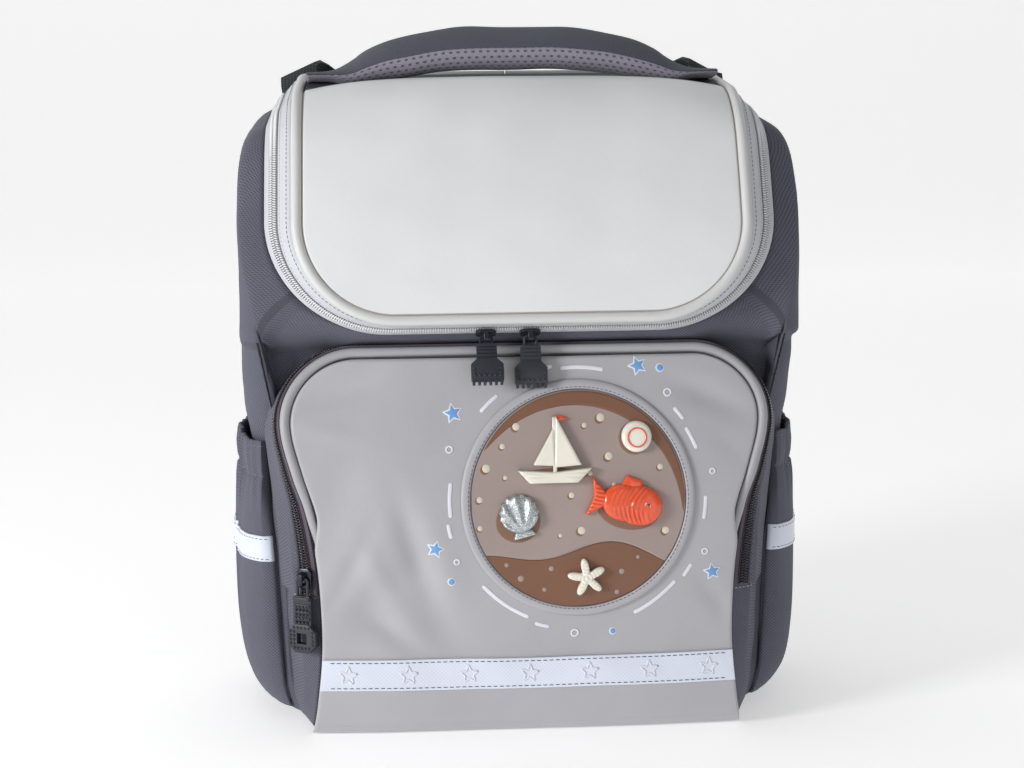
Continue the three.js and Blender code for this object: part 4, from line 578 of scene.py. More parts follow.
def lid_crown(x, s):
    """Height of the face's swell, with a few soft dents."""
    u = np.clip(x / lid_half(s, 0, LID_PIPING), -1, 1)
    swell = LID_CROWN * (1 - u * u) * np.maximum(0, np.sin(PI * np.clip(s / LID_SEAM, 0, 1)))
    ahead, behind = smooth(s, FACE_LENGTH, LID_SEAM), smooth(s, LID_SEAM, LID_SEAM + LID_SEAM_FALL)
    swell = swell + LID_TOP_CROWN * (ahead - behind) * (1 - u**4)
    p = stack(x, s, 0 * s)
    edge = (1 - u**6) * smooth(s, 0, 30) * smooth(LID_SEAM - s, 0, 12)
    return swell + edge * (0.8 * ripple(p, 95, 1) + 0.2 * ripple(p, 34, 2))


def plate_mesh(
    name, rows, half, outer, inner, place, material, across=60, edge=1.0, **kw
):
    """A sheet bent over a surface, with thickness and rounded edges all round."""
    rows = np.asarray(rows, float)
    e = edge
    bend = e * (1 - np.cos(np.linspace(0, PI / 2, 5, endpoint=False)))
    body = rows[(rows > rows[0] + e) & (rows < rows[-1] - e)]
    rows = np.concatenate([rows[0] + bend, [rows[0] + e], body, [rows[-1] - e], (rows[-1] - bend)[::-1]])
    rings = []
    for s in rows:
        w = float(half(s))
        lap = min(e, w * 0.3)
        cut = lap * (1 - np.cos(np.linspace(0, PI / 2, 6, endpoint=False)))
        run = np.concatenate([-w + cut, np.linspace(-w + lap, w - lap, across), (w - cut)[::-1]])
        near = np.minimum(w - np.abs(run), e)
        drop = e - np.sqrt(np.maximum(0, e * e - (e - near) ** 2))
        close = min(s - rows[0], rows[-1] - s, e)
        drop = np.maximum(drop, e - math.sqrt(max(0, e * e - (e - close) ** 2)))
        top = outer(run, s) - np.minimum(drop, (outer(run, s) - inner(run, s)) * 0.9)
        low = inner(run, s)
        rings.append(np.concatenate([place(run, s, top), place(run[::-1], s, low[::-1])]))
    grid = np.stack(rings)
    count = grid.shape[1] // 2
    quads, corners = grid_faces(len(rows), 2 * count, False, True)
    us = lengths(grid[:, count // 2], False)
    middle = len(rows) // 2
    vs = lengths(grid[middle], True)
    uv = np.stack([vs[corners[..., 1]], us[corners[..., 0]]], -1) / 10
    faces, uv = quads.tolist(), uv.reshape(-1, 2).tolist()
    for r, turn in ((0, True), (len(rows) - 1, False)):
        for i in range(count - 1):
            f = [r * 2 * count + k for k in (i, i + 1, 2 * count - 2 - i, 2 * count - 1 - i)]
            faces.append(f[::-1] if turn else f)
            uv.extend([(vs[i] / 10, us[r] / 10)] * 4)
    return make(name, grid.reshape(-1, 3), faces, material, uv=uv, **kw)


# The lid's pieces
def lid_pieces():
    inset = LID_PIPING + 2 * GAP
    radius = LID_CORNER - inset

    def face(x, s):
        return lid_crown(x, s) - LID_EDGE_DROP

    def underside(x, s):
        return face(x, s) - LID_WALL

    turn = inset + radius * (1 - np.cos(np.linspace(0, PI / 2, 34)))
    rows = np.concatenate([turn, np.arange(turn[-1] + 3, LID_SEAM - 2, 3), [LID_SEAM - GAP / 2]])
    plate_mesh(
        "lid_front_panel_leather", rows, lambda s: lid_half(s, 0, inset), face, underside,
        on_lid, M_LID, across=90, edge=1.1, replaces=["lid_front_panel"], slot="cream_sheet",
    )
    back_end = LID_LENGTH - 2 * LID_PIPING - 2 * GAP
    bend = LID_BACK_CORNER - inset

    def top_half(s):
        past = np.clip(s - back_end + bend, 0, bend)
        return lid_half(s, 0, inset) - bend + np.sqrt(bend * bend - past * past)

    corner = back_end - bend * (1 - np.sin(np.linspace(0, PI / 2, 12)))
    rows = np.concatenate([np.arange(LID_SEAM + GAP / 2, corner[0] - 1, 3), corner])
    plate_mesh(
        "lid_top_panel_cloth", rows, top_half, face, underside,
        on_lid, M_TWILL_DARK, across=80, edge=0.9, replaces=["lid_top_panel"], slot="grey_cloth",
    )

    t = np.linspace(0, 1, 421)
    x, s, _, _ = lid_loop(t, 0.0)
    back = LID_LENGTH - LID_PIPING - GAP
    keep = s < back - LID_BACK_CORNER - 0.5
    side = stack(x[keep], s[keep], 0)[:, :2]
    a = np.radians(np.linspace(90, 0, 12))
    hx = lid_half(back, 0) - LID_BACK_CORNER * (1 - np.cos(a))
    hs = back - LID_BACK_CORNER * (1 - np.sin(a))
    straight = np.linspace(GAP, hx[0], 16)[:-1]
    right = np.concatenate([np.stack([straight, 0 * straight + back], 1), np.stack([hx, hs], 1)])
    left = right * [-1, 1]
    route = np.concatenate([left, side, right[::-1]])
    path = resample(on_lid(route[:, 0], route[:, 1], -LID_PIPING + 0 * route[:, 0]), 2.0)
    swell = 1 + 0.012 * ripple(path, 40, 5)
    # The piping cord takes the darker copy of the lid's sheet: painted shade.
    tube("lid_piping_cord", path, LID_PIPING * swell, M_LID_PIPE_PAINTED_SHADE, sides=20, replaces=["lid_piping"],
         slot="cream_sheet")

    # A brownish cord in the hollow beside the piping's inner side: painted shade for the soft shade line
    # along the lid's seam.
    shade_cord_inset = LID_PIPING + GAP + 0.35
    bend_s = shade_cord_inset + (LID_CORNER - shade_cord_inset) * (1 - np.cos(np.linspace(0, PI / 2, 50)))
    low_edge = np.concatenate([bend_s, np.linspace(bend_s[-1] + 2, LID_SEAM - 3, 90)])
    right = np.stack([lid_half(low_edge, 0, shade_cord_inset), low_edge], 1)
    route = np.concatenate([(right * [-1, 1])[::-1], right])
    line = resample(on_lid(route[:, 0], route[:, 1], -LID_EDGE_DROP - 1.55 + 0 * route[:, 0]), 2.0)
    tube("lid_seam_painted_shade_cord", line, 0.95, M_LID_SEAM_PAINTED_SHADE, sides=10)

    start = 2 * LID_PIPING - LID_TAPE_TUCK
    high = lid_side(np.array(1.0), np.array(start), np.array(-TAPE_WALL))
    low = lid_side(np.array(1.0), np.array(LID_DEPTH), np.array(-TAPE_WALL))
    top = float(on_lid(0, LID_LENGTH - LID_PIPING - GAP, -2 * LID_PIPING)[2]) - GAP
    foot = float(on_lid(0, LID_LENGTH, -LID_DEPTH)[2]) + 2 * GAP

    def hinge_half(z):
        zip_end = high[0] + (low[0] - high[0]) * (high[2] - z) / (high[2] - low[2])
        return min(body_row(z)[0] - HINGE_INSET * BASE_BACK_CORNER, zip_end - 2 * GAP)

    plate_mesh(
        "lid_hinge_cloth", np.linspace(foot - 3, top, 16), hinge_half,
        lambda x, z: 0.2 - HINGE_ROUND * (np.abs(x) / hinge_half(z)) ** 16, lambda x, z: 0 * x - BODY_SKIN,
        lambda x, z, n: stack(x, BACK_Y + n, z), M_TWILL, across=80, edge=0.8,
        replaces=["lid_hinge_strip"], slot="grey_cloth",
    )

    chain = start + LID_TAPE_WIDTH
    end = chain + LID_CHAIN_WIDTH
    tape_end = LID_DEPTH - 2 * GAP - LID_FLARE * TAPE_WALL / math.hypot(1, LID_FLARE)
    t = np.linspace(0, 1, 361)

    def strip(name, near, far, low, high, material, tuck_in=0.0, **kw):
        d = np.linspace(near, far, 9)
        ring_d = [[near - tuck_in, near + 0.15], d[1:-1], [far - 0.15, far], [far], [near - tuck_in]]
        ring_l = [[high - 0.25 - tuck_in * 0.6], [high] * (len(d)), [high - 0.25], [low], [low]]
        ring_d, ring_l = np.concatenate(ring_d), np.concatenate(ring_l)
        grid = lid_side(t[:, None], ring_d[None], ring_l[None])
        return sheet_mesh(name, grid, material, v_closed=True, caps=True, **kw)

    strip("lid_zip_tape_woven", start, chain - GAP, -TAPE_WALL, 0, M_WHITE_TAPE, 1.3,
          replaces=["lid_zip_tape"], slot="cream_cloth")
    strip("body_zip_tape_woven", end + GAP, tape_end, -TAPE_WALL, 0, M_WHITE_TAPE,
          replaces=["body_zip_tape"], slot="cream_cloth")
    coil("lid_zip_chain_coil", lambda q, d, n: lid_side(q, chain + d, n), t, LID_CHAIN_WIDTH,
         LID_CHAIN_HEIGHT, 1.35, M_WHITE_COIL, M_COIL_BASE, replaces=["lid_zip_chain"], slot="cream_coil")
    stitches("lid_tape_seam_dark", lid_side(t, start + 1.0, 0.12 + 0 * t), 2.6, 0.62, 0.22, M_THREAD_GREY)
    stitches("lid_tape_seam_pale", lid_side(t, chain - 1.5, 0.1 + 0 * t), 2.2, 0.62, 0.2, M_THREAD_CREAM)


def tooth_shape(length, width, height, sides=8):
    """A rounded bar lying across: (points, quads), long along its first axis."""
    share = np.array([-1, -0.86, 0, 0.86, 1])
    full = np.array([0.45, 0.9, 1, 0.9, 0.45])
    a = np.linspace(0, 2 * PI, sides, endpoint=False)
    points = [
        [length / 2 * e, width / 2 * f * math.cos(b), height / 2 * f * math.sin(b)]
        for e, f in zip(share, full) for b in a
    ]
    faces = []
    for i in range(len(share) - 1):
        for k in range(sides):
            n = (k + 1) % sides
            faces.append([i * sides + k, (i + 1) * sides + k, (i + 1) * sides + n, i * sides + n])
    last = (len(share) - 1) * sides
    for k in range(1, sides - 1, 2):
        faces.append([0, k, k + 1, (k + 2) % sides])
        faces.append([last, last + (k + 2) % sides, last + k + 1, last + k])
    return np.array(points), faces


def coil(name, at, t, width, height, pitch, material, base, **kw):
    """Two rows of slanted teeth over a base strip; at(q, across, lift) places a point along the zip."""
    line = at(t, width / 2 + 0 * t, 0 * t)
    run = lengths(line, False)
    count = int(run[-1] / pitch)
    shape = tooth_shape(width * 0.5, pitch * 0.66, height * 0.72)
    parts = []
    for row, middle in ((0, width * 0.27), (1, width * 0.73)):
        places = (np.arange(count) + 0.5 * row + 0.3) * pitch
        q = np.interp(places, run, t)
        flat = 0 * q
        centre = at(q, middle + flat, flat + height * 0.12)
        before = at(q - 1e-3, middle + flat, flat + height * 0.12)
        after = at(q + 1e-3, middle + flat, flat + height * 0.12)
        ahead = unit(after - before)
        over = unit(at(q, middle + 0.3 + flat, flat) - at(q, middle - 0.3 + flat, flat))
        slant = 0.16 if row else -0.16
        over = unit(over + slant * ahead)
        up = unit(np.cross(ahead, over))
        ahead = np.cross(over, up)
        frames = np.stack([over, ahead, up, centre], -1)
        parts.append(repeat(shape, frames))
    d = np.array([0.02, 0.02, 0.98, 0.98]) * width
    lift = np.array([-height * 0.42, -height * 0.2, -height * 0.2, -height * 0.42])
    sheet_mesh(f"{name}_base", at(t[:, None], d[None], lift[None]), base, v_closed=True, caps=True)
    return merged(name, parts, material, **kw)


def stitches(name, line, pitch, share, radius, material):
    """Sewn stitches as short raised bars along a line."""
    run = lengths(line, False)
    count = max(1, int(run[-1] / pitch))
    places = (np.arange(count) + 0.5) * pitch * run[-1] / (count * pitch)

    def where(d):
        return np.stack([np.interp(d, run, line[:, k]) for k in range(3)], -1)

    centre = where(places)
    ahead = unit(where(places + 0.4) - where(places - 0.4))
    hint = np.broadcast_to(np.array([0.31, -0.71, 0.63]), ahead.shape)
    over = unit(np.cross(hint, ahead))
    up = np.cross(ahead, over)
    shape = tooth_shape(pitch * share, radius * 2, radius * 2, 6)
    points, faces = repeat(shape, np.stack([ahead, over, up, centre], -1))
    return make(name, points, faces, material)


# The body
BODY = table(("height", "width", "corner", "back"), [
    (0, 0.84, 0.75, 0.45), (0.012, 0.885, 0.85, 0.25), (0.03, 0.93, 1, 0.1), (0.065, 0.958, 1, 0),
    (0.12, 0.968, 1, 0), (0.25, 0.97, 1, 0), (0.38, 0.968, 1, 0), (0.44, 0.972, 1, 0), (0.49, 0.994, 1, 0),
    (0.6, 0.999, 0.6, 0), (0.66, 1, 0.5, 0), (0.76, 0.998, 0.5, 0), (0.835, 0.992, 0.5, 0),
    (0.885, 0.976, 0.5, 0), (0.93, 0.938, 0.5, 0), (0.96, 0.895, 0.5, 0), (0.99, 0.84, 0.5, 0),
])
RIM_LOW = on_lid(0, -LID_LOW_FLARE * LID_DEPTH, -LID_DEPTH)
LEDGE_TOP = float(RIM_LOW[2]) - 1
LEDGE_FOOT = LEDGE_TOP - LEDGE_HEIGHT
OVERHANG = FRONT_Y - float(RIM_LOW[1])


def body_row(z):
    """The body's half width, its front wall and its front corner's radius at height z."""
    share = z / BAG_HEIGHT
    over = float(smooth(z, LEDGE_FOOT, LEDGE_TOP))
    wall = FRONT_Y + float(column(BODY, "back", share, "height")) * OVERHANG
    corner = max(float(column(BODY, "corner", share, "height")), 0.75)
    half = float(column(BODY, "width", share, "height")) * HALF_WIDTH
    return half, lerp(wall, float(RIM_LOW[1]), over), lerp(corner, 0.6, over) * BASE_FRONT_CORNER


def body_section(z):
    """One plan section, from the middle of the front round the right side to the middle of the back."""
    half, front, corner = body_row(z)
    back = BASE_BACK_CORNER
    a = np.radians(np.linspace(-90, 0, 15))
    b = np.radians(np.linspace(0, 90, 10))
    t = np.linspace(0, 1, 30)[1:-1]
    xs = [np.linspace(0, half - corner, 32)[:-1], half - corner + corner * np.cos(a)]
    ys = [np.full(31, front), front + corner + corner * np.sin(a)]
    xs.append(half + SIDE_BULGE * (1 - (2 * t - 1) ** 2))
    ys.append(lerp(front + corner, BACK_Y - back, t))
    xs += [half - back + back * np.cos(b), np.linspace(half - back, 0, 20)[1:]]
    ys += [BACK_Y - back + back * np.sin(b), np.full(19, BACK_Y)]
    return np.stack([np.concatenate(xs), np.concatenate(ys)], -1)


def lid_depth(y, z):
    """How far points lie below the lid's face, and where along its profile."""
    s = np.linspace(-60, LID_LENGTH + 60, 1500)
    line_y, line_z, heading = lid_profile(s)
    line_y, line_z = line_y + LID_START[0], line_z + LID_START[1]
    y, z = np.atleast_1d(y), np.atleast_1d(z)
    i = np.argmin((y[:, None] - line_y) ** 2 + (z[:, None] - line_z) ** 2, axis=1)
    n = -(y - line_y[i]) * np.sin(heading[i]) + (z - line_z[i]) * np.cos(heading[i])
    return -n, s[i]


def body_piece():
    foot_rows, side_rows = np.linspace(0, 24, 12), np.linspace(28, LEDGE_FOOT - 1, 46)
    ledge_rows, top_rows = np.linspace(LEDGE_FOOT, LEDGE_TOP, 8), np.linspace(LEDGE_TOP + 2, 352, 56)
    heights = np.concatenate([foot_rows, side_rows, ledge_rows, top_rows])
    walls = np.stack([body_section(z) for z in heights])
    count = walls.shape[1]
    levels, turn_in, turn_under = 104, 1.35, 0.45
    loop_t = np.linspace(0.5, 1, 900)
    loop_x, loop_s, _, _ = lid_loop(loop_t, LID_DEPTH)
    columns = []
    for k in range(count):
        x, y = walls[:, k, 0], walls[:, k, 1]
        depth, s = lid_depth(y, heights)
        under = np.where(depth < LID_DEPTH)[0]
        under = under[heights[under] > LEDGE_FOOT]
        at = under[0]
        f = (depth[at - 1] - LID_DEPTH) / (depth[at - 1] - depth[at])
        top = lerp(heights[at - 1], heights[at], f)
        def wall_x(z):
            return np.interp(z, heights, x)

        def wall_y(z):
            return np.interp(z, heights, y)
        edge = np.array([wall_x(top), wall_y(top), top])
        _, s_top = lid_depth(edge[1], edge[2])
        near = np.argmin((loop_x - edge[0]) ** 2 + (loop_s - s_top[0]) ** 2)
        foot = lid_side(loop_t[near], LID_DEPTH - turn_in, -turn_under)
        if edge[1] > BACK_Y - 8:
            foot = edge * [0.985, 1, 1] - [0, 3.2, 0]
        reach = np.linalg.norm(foot - edge)
        low = top - np.clip(reach * 0.9, 3, 8)
        z = heights[heights < min(low, LEDGE_TOP + 1) - 0.3]
        if low > z[-1] + 3:
            z = np.concatenate([z, np.linspace(z[-1] + 2, low, levels - len(z))])
        else:
            z = np.linspace(0, low, levels)
        wall = stack(wall_x(z), wall_y(z), z)
        f = np.linspace(0, 1, 10)[1:, None]
        start = wall[-1]
        bend = (1 - f) ** 2 * start + 2 * f * (1 - f) * edge + f * f * foot
        columns.append(np.concatenate([wall, bend]))
    right = np.stack(columns)
    left = right[1:-1][::-1] * [-1, 1, 1]
    skin = np.concatenate([right, left])
    out = unit(np.cross(np.roll(skin, -1, 0) - np.roll(skin, 1, 0), np.gradient(skin, axis=1)))
    ease = smooth(skin[..., 2], 2, 30) * smooth(np.linspace(1, 0, skin.shape[1]), 0, 0.12)[None]
    wave = 0.75 * ripple(skin, 70, 4) + 0.35 * ripple(skin, 26, 6)
    skin = skin + out * (wave * ease * 0.9)[..., None] * np.array([1, 1, 0.4])
    inner = skin - out * BODY_SKIN
    inner[:, 0, 2] = CLOTH_WALL
    grid = np.concatenate([skin, inner[:, ::-1]], axis=1)
    nu, nv = grid.shape[:2]
    quads, corners = grid_faces(nu, nv, True, False)
    us = lengths(grid[:, 40], True)
    steps = np.linalg.norm(np.diff(grid, axis=1), axis=-1)
    vs = np.concatenate([np.zeros((nu, 1)), np.cumsum(steps, axis=1)], axis=1)
    uv = np.stack([us[corners[..., 0]], vs[corners[..., 0] % nu, corners[..., 1]]], -1) / 10
    uv = uv.reshape(-1, 2).tolist()
    faces = quads.tolist()
    for col in (0, nv - 1):
        ring = [i * nv + col for i in range(nu)]
        faces.append(ring)
        uv.extend((grid[:, col, :2] / 10).tolist())
    make("body_shell_cloth", grid.reshape(-1, 3), faces, M_TWILL, uv=uv, replaces=["body_shell"],
         slot="grey_cloth")


# The front pocket
POCKET = table(("height", "edge", "middle", "body", "depth"), [
    (0, 0.9, 0.915, 0.93, 0.62), (0.035, 0.888, 0.918, 0.95, 0.83), (0.09, 0.873, 0.922, 0.97, 0.92),
    (0.235, 0.85, 0.93, 0.985, 0.98), (0.39, 0.855, 0.938, 0.995, 1), (0.5, 0.873, 0.948, 1.005, 1),
    (0.6, 0.905, 0.965, 1.02, 0.97), (0.69, 0.952, 0.99, 1.035, 0.91), (0.8, 0.995, 1.018, 1.05, 0.8),
    (1, 1, 1.025, 1.05, 0.52),
])
# Dents of the pocket's sheet: place across and up, length, width, depth and turn in degrees
DENTS = [
    (-0.62, 0.36, 0.22, 0.09, 0.075, 38), (-0.36, 0.33, 0.2, 0.1, 0.065, -62),
    (-0.8, 0.6, 0.24, 0.09, 0.05, 68), (-0.5, 0.62, 0.3, 0.2, -0.045, 10),
]
FINE_DENTS = [
    (-0.72, 0.45, 0.16, 0.04, 0.05, 62), (-0.55, 0.28, 0.15, 0.045, 0.045, -38),
    (0.86, 0.4, 0.18, 0.04, 0.02, 70), (-0.9, 0.74, 0.14, 0.04, 0.02, 40),
    (0.88, 0.72, 0.14, 0.04, 0.018, -40), (-0.46, 0.5, 0.2, 0.055, 0.075, -72),
    (-0.84, 0.34, 0.12, 0.035, 0.055, 48), (-0.8, 0.88, 0.2, 0.045, 0.06, 18),
    (-0.84, 0.8, 0.16, 0.035, -0.02, -12), (0.78, 0.86, 0.18, 0.05, 0.05, -22),
    (-0.6, 0.42, 0.18, 0.05, -0.04, -62), (0.82, 0.32, 0.16, 0.045, 0.05, -52),
    (-0.62, 0.3, 0.1, 0.04, 0.03, 20), (-0.34, 0.42, 0.2, 0.07, -0.035, -75),
]
POCKET_HEIGHT = LID_START[1] - POCKET_GAP
PIPE_SPAN = 2 * POCKET_PIPING + 2 * GAP
TUCK_MIDDLE = (TUCK_FOOT + TUCK_TOP) / 2
TOP_MARK, ZIP_MARK = 19.0, 6.0


def pocket_half(z, name):
    """The pocket's half width at height z, along its edge, middle or body line."""
    return column(POCKET, name, np.clip(z / POCKET_HEIGHT, 0, 1), "height") * POCKET_HALF


def pocket_front(z):
    """How far forward the pocket's sheet stands at height z."""
    return FRONT_Y - column(POCKET, "depth", np.clip(z / POCKET_HEIGHT, 0, 1), "height") * POCKET_DEPTH


def pocket_fall(z):
    """How far the sheet falls back at the pocket's sides."""
    return EDGE_FALL * np.sin(PI * (0.12 + 0.76 * np.clip(z / POCKET_HEIGHT, 0, 1)))


def tuck(z):
    """How far the sheet's edge is tucked in below the piping's foot."""
    return POCKET_TUCK * (1 - smooth(z, TUCK_MIDDLE, TUCK_TOP))


def dents(x, z, rows):
    """Depth of soft hollows in the pocket's sheet."""
    total = 0 * x
    for across, up, long, short, depth, turn in rows:
        dx, dz, a = x - across * POCKET_HALF, z - up * POCKET_HEIGHT, math.radians(turn)
        along = (dx * math.cos(a) + dz * math.sin(a)) / (long * POCKET_HALF)
        over = (dz * math.cos(a) - dx * math.sin(a)) / (short * POCKET_HALF)
        total = total + depth * POCKET_DEPTH * np.exp(-along**2 - over**2)
    return total


def on_pocket(x, z, n):
    """A point of the pocket's front, n behind its sheet."""
    x, z, n = np.broadcast_arrays(np.asarray(x, float), np.asarray(z, float), np.asarray(n, float))
    across = np.minimum(1, np.abs(x) / pocket_half(z, "edge"))
    edge = 1 - across**6
    sink = dents(x, z, DENTS) + dents(x, z, FINE_DENTS)
    sink = sink + 0.45 * ripple(stack(x, z, 0), 62, 8) + 0.12 * ripple(stack(x, z, 0), 23, 3)
    y = pocket_front(z) + pocket_fall(z) * across**2.4 + sink * edge
    return stack(x, y + n, z)


def pocket_panel_half(z, inset):
    radius = POCKET_CORNER - inset
    above = np.clip(z - (POCKET_HEIGHT - inset - radius), 0, radius)
    return pocket_half(z, "edge") - inset - (radius - np.sqrt(radius * radius - above * above))


def panel_inset(z):
    return lerp(SHEET_MARGIN, PIPE_SPAN, smooth(z, TUCK_FOOT, TUCK_MIDDLE))


def pocket_side(q, t):
    """The pocket's zipped side: q from 0 at the foot's middle round the left to the top's middle, and on."""
    q, t = np.broadcast_arrays(np.asarray(q, float), np.asarray(t, float))
    q = np.mod(q, 2 * TOP_MARK)
    m = np.where(q > TOP_MARK, 2 * TOP_MARK - q, q)
    mirror = np.where(q > TOP_MARK, -1.0, 1.0)
    top = POCKET_HEIGHT - (LEDGE_HEIGHT + 1) * np.minimum(t, 2) / 2
    shoulder = top - POCKET_CORNER

    def half(z):
        first = lerp(pocket_half(z, "edge"), pocket_half(z, "middle"), np.clip(t, 0, 1))
        second = lerp(pocket_half(z, "middle"), pocket_half(z, "body"), np.clip(t - 1, 0, 1))
        return np.where(t < 1, first, second)

    a = np.clip((m - 1) / 2, 0, 1) * PI / 2
    b = np.clip((m - 12) / 6, 0, 1) * PI / 2
    z = POCKET_FOOT_CORNER * (1 - np.cos(a))
    z = np.where(m > 3, lerp(POCKET_FOOT_CORNER, ZIP_FOOT, (m - 3) / 3), z)
    z = np.where(m > 6, lerp(ZIP_FOOT, shoulder, (m - 6) / 6), z)
    z = np.where(m > 12, shoulder + POCKET_CORNER * np.sin(b), z)
    x = -half(z) + POCKET_FOOT_CORNER * (1 - np.sin(a)) * (m < 3)
    x = x + POCKET_CORNER * (1 - np.cos(b)) * (m > 12)
    x = x * np.clip(m, 0, 1) * np.clip(TOP_MARK - m, 0, 1)
    front = pocket_front(z) + pocket_fall(z) + tuck(z) + PIPE_SPAN
    spread = pocket_half(z, "middle") - pocket_half(z, "edge")
    run = np.sqrt(np.maximum(1, ZIP_BAND**2 - spread**2))
    bend = np.minimum(front + run, lerp(front, FRONT_Y, 0.9))
    behind = np.where(t < 2, lerp(bend, FRONT_Y, t - 1), FRONT_Y + (t - 2) * 30)
    y = np.where(t < 1, lerp(front, bend, t), behind)
    return stack(x * mirror, y, z)


def pocket_skin(q, t, lift):
    """A point lifted off the pocket's zipped side."""
    q, t, lift = np.broadcast_arrays(np.asarray(q, float), np.asarray(t, float), np.asarray(lift, float))
    along = pocket_side(q + 0.3, t) - pocket_side(q - 0.3, t)
    soft = np.clip(t, 0.15, 1.85)
    over = pocket_side(q, soft + 0.15) - pocket_side(q, soft - 0.15)
    normal = unit(np.cross(along, over))
    return pocket_side(q, t) + normal * lift[..., None]


def zip_share(q, distance):
    """A distance behind the pocket's edge, as a share of the zip's band."""
    return distance / np.linalg.norm(pocket_side(q, 1.0) - pocket_side(q, 0.0), axis=-1)


def pocket_pieces():
    foot = SHEET_MARGIN
    high = POCKET_HEIGHT - PIPE_SPAN
    radius = POCKET_CORNER - PIPE_SPAN
    turn = high - radius * (1 - np.sin(np.linspace(0, PI / 2, 30)))
    rows = np.concatenate([np.linspace(foot, turn[0], 74)[:-1], turn])
    plate_mesh(
        "pocket_panel_leather", rows, lambda z: pocket_panel_half(z, panel_inset(z)),
        lambda x, z: 0 * x - SHEET_DROP, lambda x, z: 0 * x - SHEET_DROP - POCKET_WALL,
        lambda x, z, n: on_pocket(x, z, -n), M_POCKET, across=110, edge=1.7,
        replaces=["pocket_panel"], slot="grey_sheet",
    )

    q = np.linspace(0, 2 * TOP_MARK, 420, endpoint=False)
    t = np.concatenate([np.linspace(0, 1, 9), np.linspace(1, 2.32, 13)[1:]])
    ring_t = np.concatenate([t, t[::-1]])
    ring_l = np.concatenate([0 * t, 0 * t - POCKET_WALL])
    grid = pocket_skin(q[:, None], ring_t[None], ring_l[None])
    slack = np.clip(ring_t, 0, 2.15)[None] * (ring_t[None] > 0.6)
    grid = grid + 0.22 * (ripple(grid, 28, 9) * slack)[..., None] * np.array([1, 0.3, 0.3])
    sheet_mesh("pocket_gusset_cloth", grid, M_TWILL, u_closed=True, v_closed=True,
               replaces=["pocket_gusset"], slot="grey_cloth")

    m = np.linspace(3, TOP_MARK, 200)
    p = pocket_side(m, 0.0)
    centre = stack(-POCKET_HALF + POCKET_CORNER, p[:, 1], POCKET_HEIGHT - POCKET_CORNER)
    pull = np.where((m > 12)[:, None], centre - p, np.array([1.0, 0, 0]))
    pull[m > 18] = [0, 0, -1]
    pull[:, 1] = 0
    aside = 1 - smooth(p[:, 2], TUCK_FOOT, TUCK_MIDDLE)
    pipe = p + unit(pull) * (POCKET_PIPING + 0.5 * POCKET_TUCK * aside)[:, None]
    pipe[:, 1] = pocket_front(pipe[:, 2]) + pocket_fall(pipe[:, 2]) + tuck(pipe[:, 2]) + POCKET_PIPING
    route = resample(np.concatenate([pipe, pipe[:-1][::-1] * [-1, 1, 1]]), 2.0)
    swell = 1 + 0.012 * ripple(route, 40, 5)
    # The piping cord takes the darker copy of the pocket's sheet: painted shade.
    tube("pocket_piping_cord", route, POCKET_PIPING * swell, M_POCKET_PIPE_PAINTED_SHADE, sides=18,
         replaces=["pocket_piping"], slot="grey_sheet")

    # A dark grey cord in the hollow beside the piping's inner side: painted shade for the shade line along
    # the pocket's seam.
    shown = pipe[:, 2] > TUCK_MIDDLE - 4
    inner = (pipe + unit(pull) * (POCKET_PIPING + 0.15) + [0, 0.5, 0])[shown]
    route = resample(np.concatenate([inner, inner[:-1][::-1] * [-1, 1, 1]]), 2.0)
    tube("pocket_seam_painted_shade_cord", route, 0.9, M_POCKET_SEAM_PAINTED_SHADE, sides=10)

    q = np.linspace(ZIP_MARK, 2 * TOP_MARK - ZIP_MARK, 420)
    seat = 3 * GAP

    def at(a, across, lift):
        return pocket_skin(a, zip_share(a, CHAIN_SETBACK + across), seat + CHAIN_HEIGHT * 0.42 + lift)

    coil("pocket_zip_chain_coil", at, q, CHAIN_WIDTH, CHAIN_HEIGHT, 1.5, M_DARK_COIL, M_DARK_TAPE,
         replaces=["pocket_zip_chain"], slot="dark_coil")
    near = np.linspace(0.1, CHAIN_SETBACK - 0.15, 5)
    ring = np.concatenate([near, near[::-1]])
    lift = np.concatenate([0 * near + 1.0, 0 * near + 0.15])
    grid = pocket_skin(q[:, None], zip_share(q[:, None], ring[None]), lift[None])
    sheet_mesh("pocket_zip_tape", grid, M_DARK_TAPE, v_closed=True, caps=True)

    first = zip_share(q, CHAIN_SETBACK + CHAIN_WIDTH + 2 * GAP)
    f = np.concatenate([np.linspace(0, 1, 8), np.linspace(1, 2, 12)[1:]])
    ts = np.where(f[None] < 1, lerp(first[:, None], 1.0, f[None]), f[None])
    count = len(f)
    high = seat + FLAP - 0.5 * (1 - smooth(np.arange(count), 0, 2.5))
    ring_t = np.concatenate([ts, ts[:, ::-1]], axis=1)
    ring_l = np.concatenate([high, np.full(count, seat)])
    grid = pocket_skin(q[:, None], ring_t, ring_l[None])
    wave = ripple(grid[:, :count], 22, 9) * smooth(np.arange(count), 1, 5)[None]
    grid[:, :count] += 0.18 * wave[..., None]
    sheet_mesh("pocket_zip_flap_cloth", grid, M_TWILL, v_closed=True, caps=True,
               replaces=["pocket_zip_flap"], slot="grey_cloth")
    edge = pocket_skin(q, lerp(first, 1.0, 0.3), seat + FLAP + 0.05)
    stitches("pocket_flap_seam", edge, 2.8, 0.6, 0.2, M_THREAD_GREY)
    ts = np.linspace(0.1, 1.8, 30)
    for name, m in (("left", ZIP_MARK - 0.08), ("right", 2 * TOP_MARK - ZIP_MARK + 0.08)):
        stitches(f"pocket_end_seam_{name}", pocket_skin(m, ts, 0.15), 2.6, 0.62, 0.22, M_THREAD_PALE)

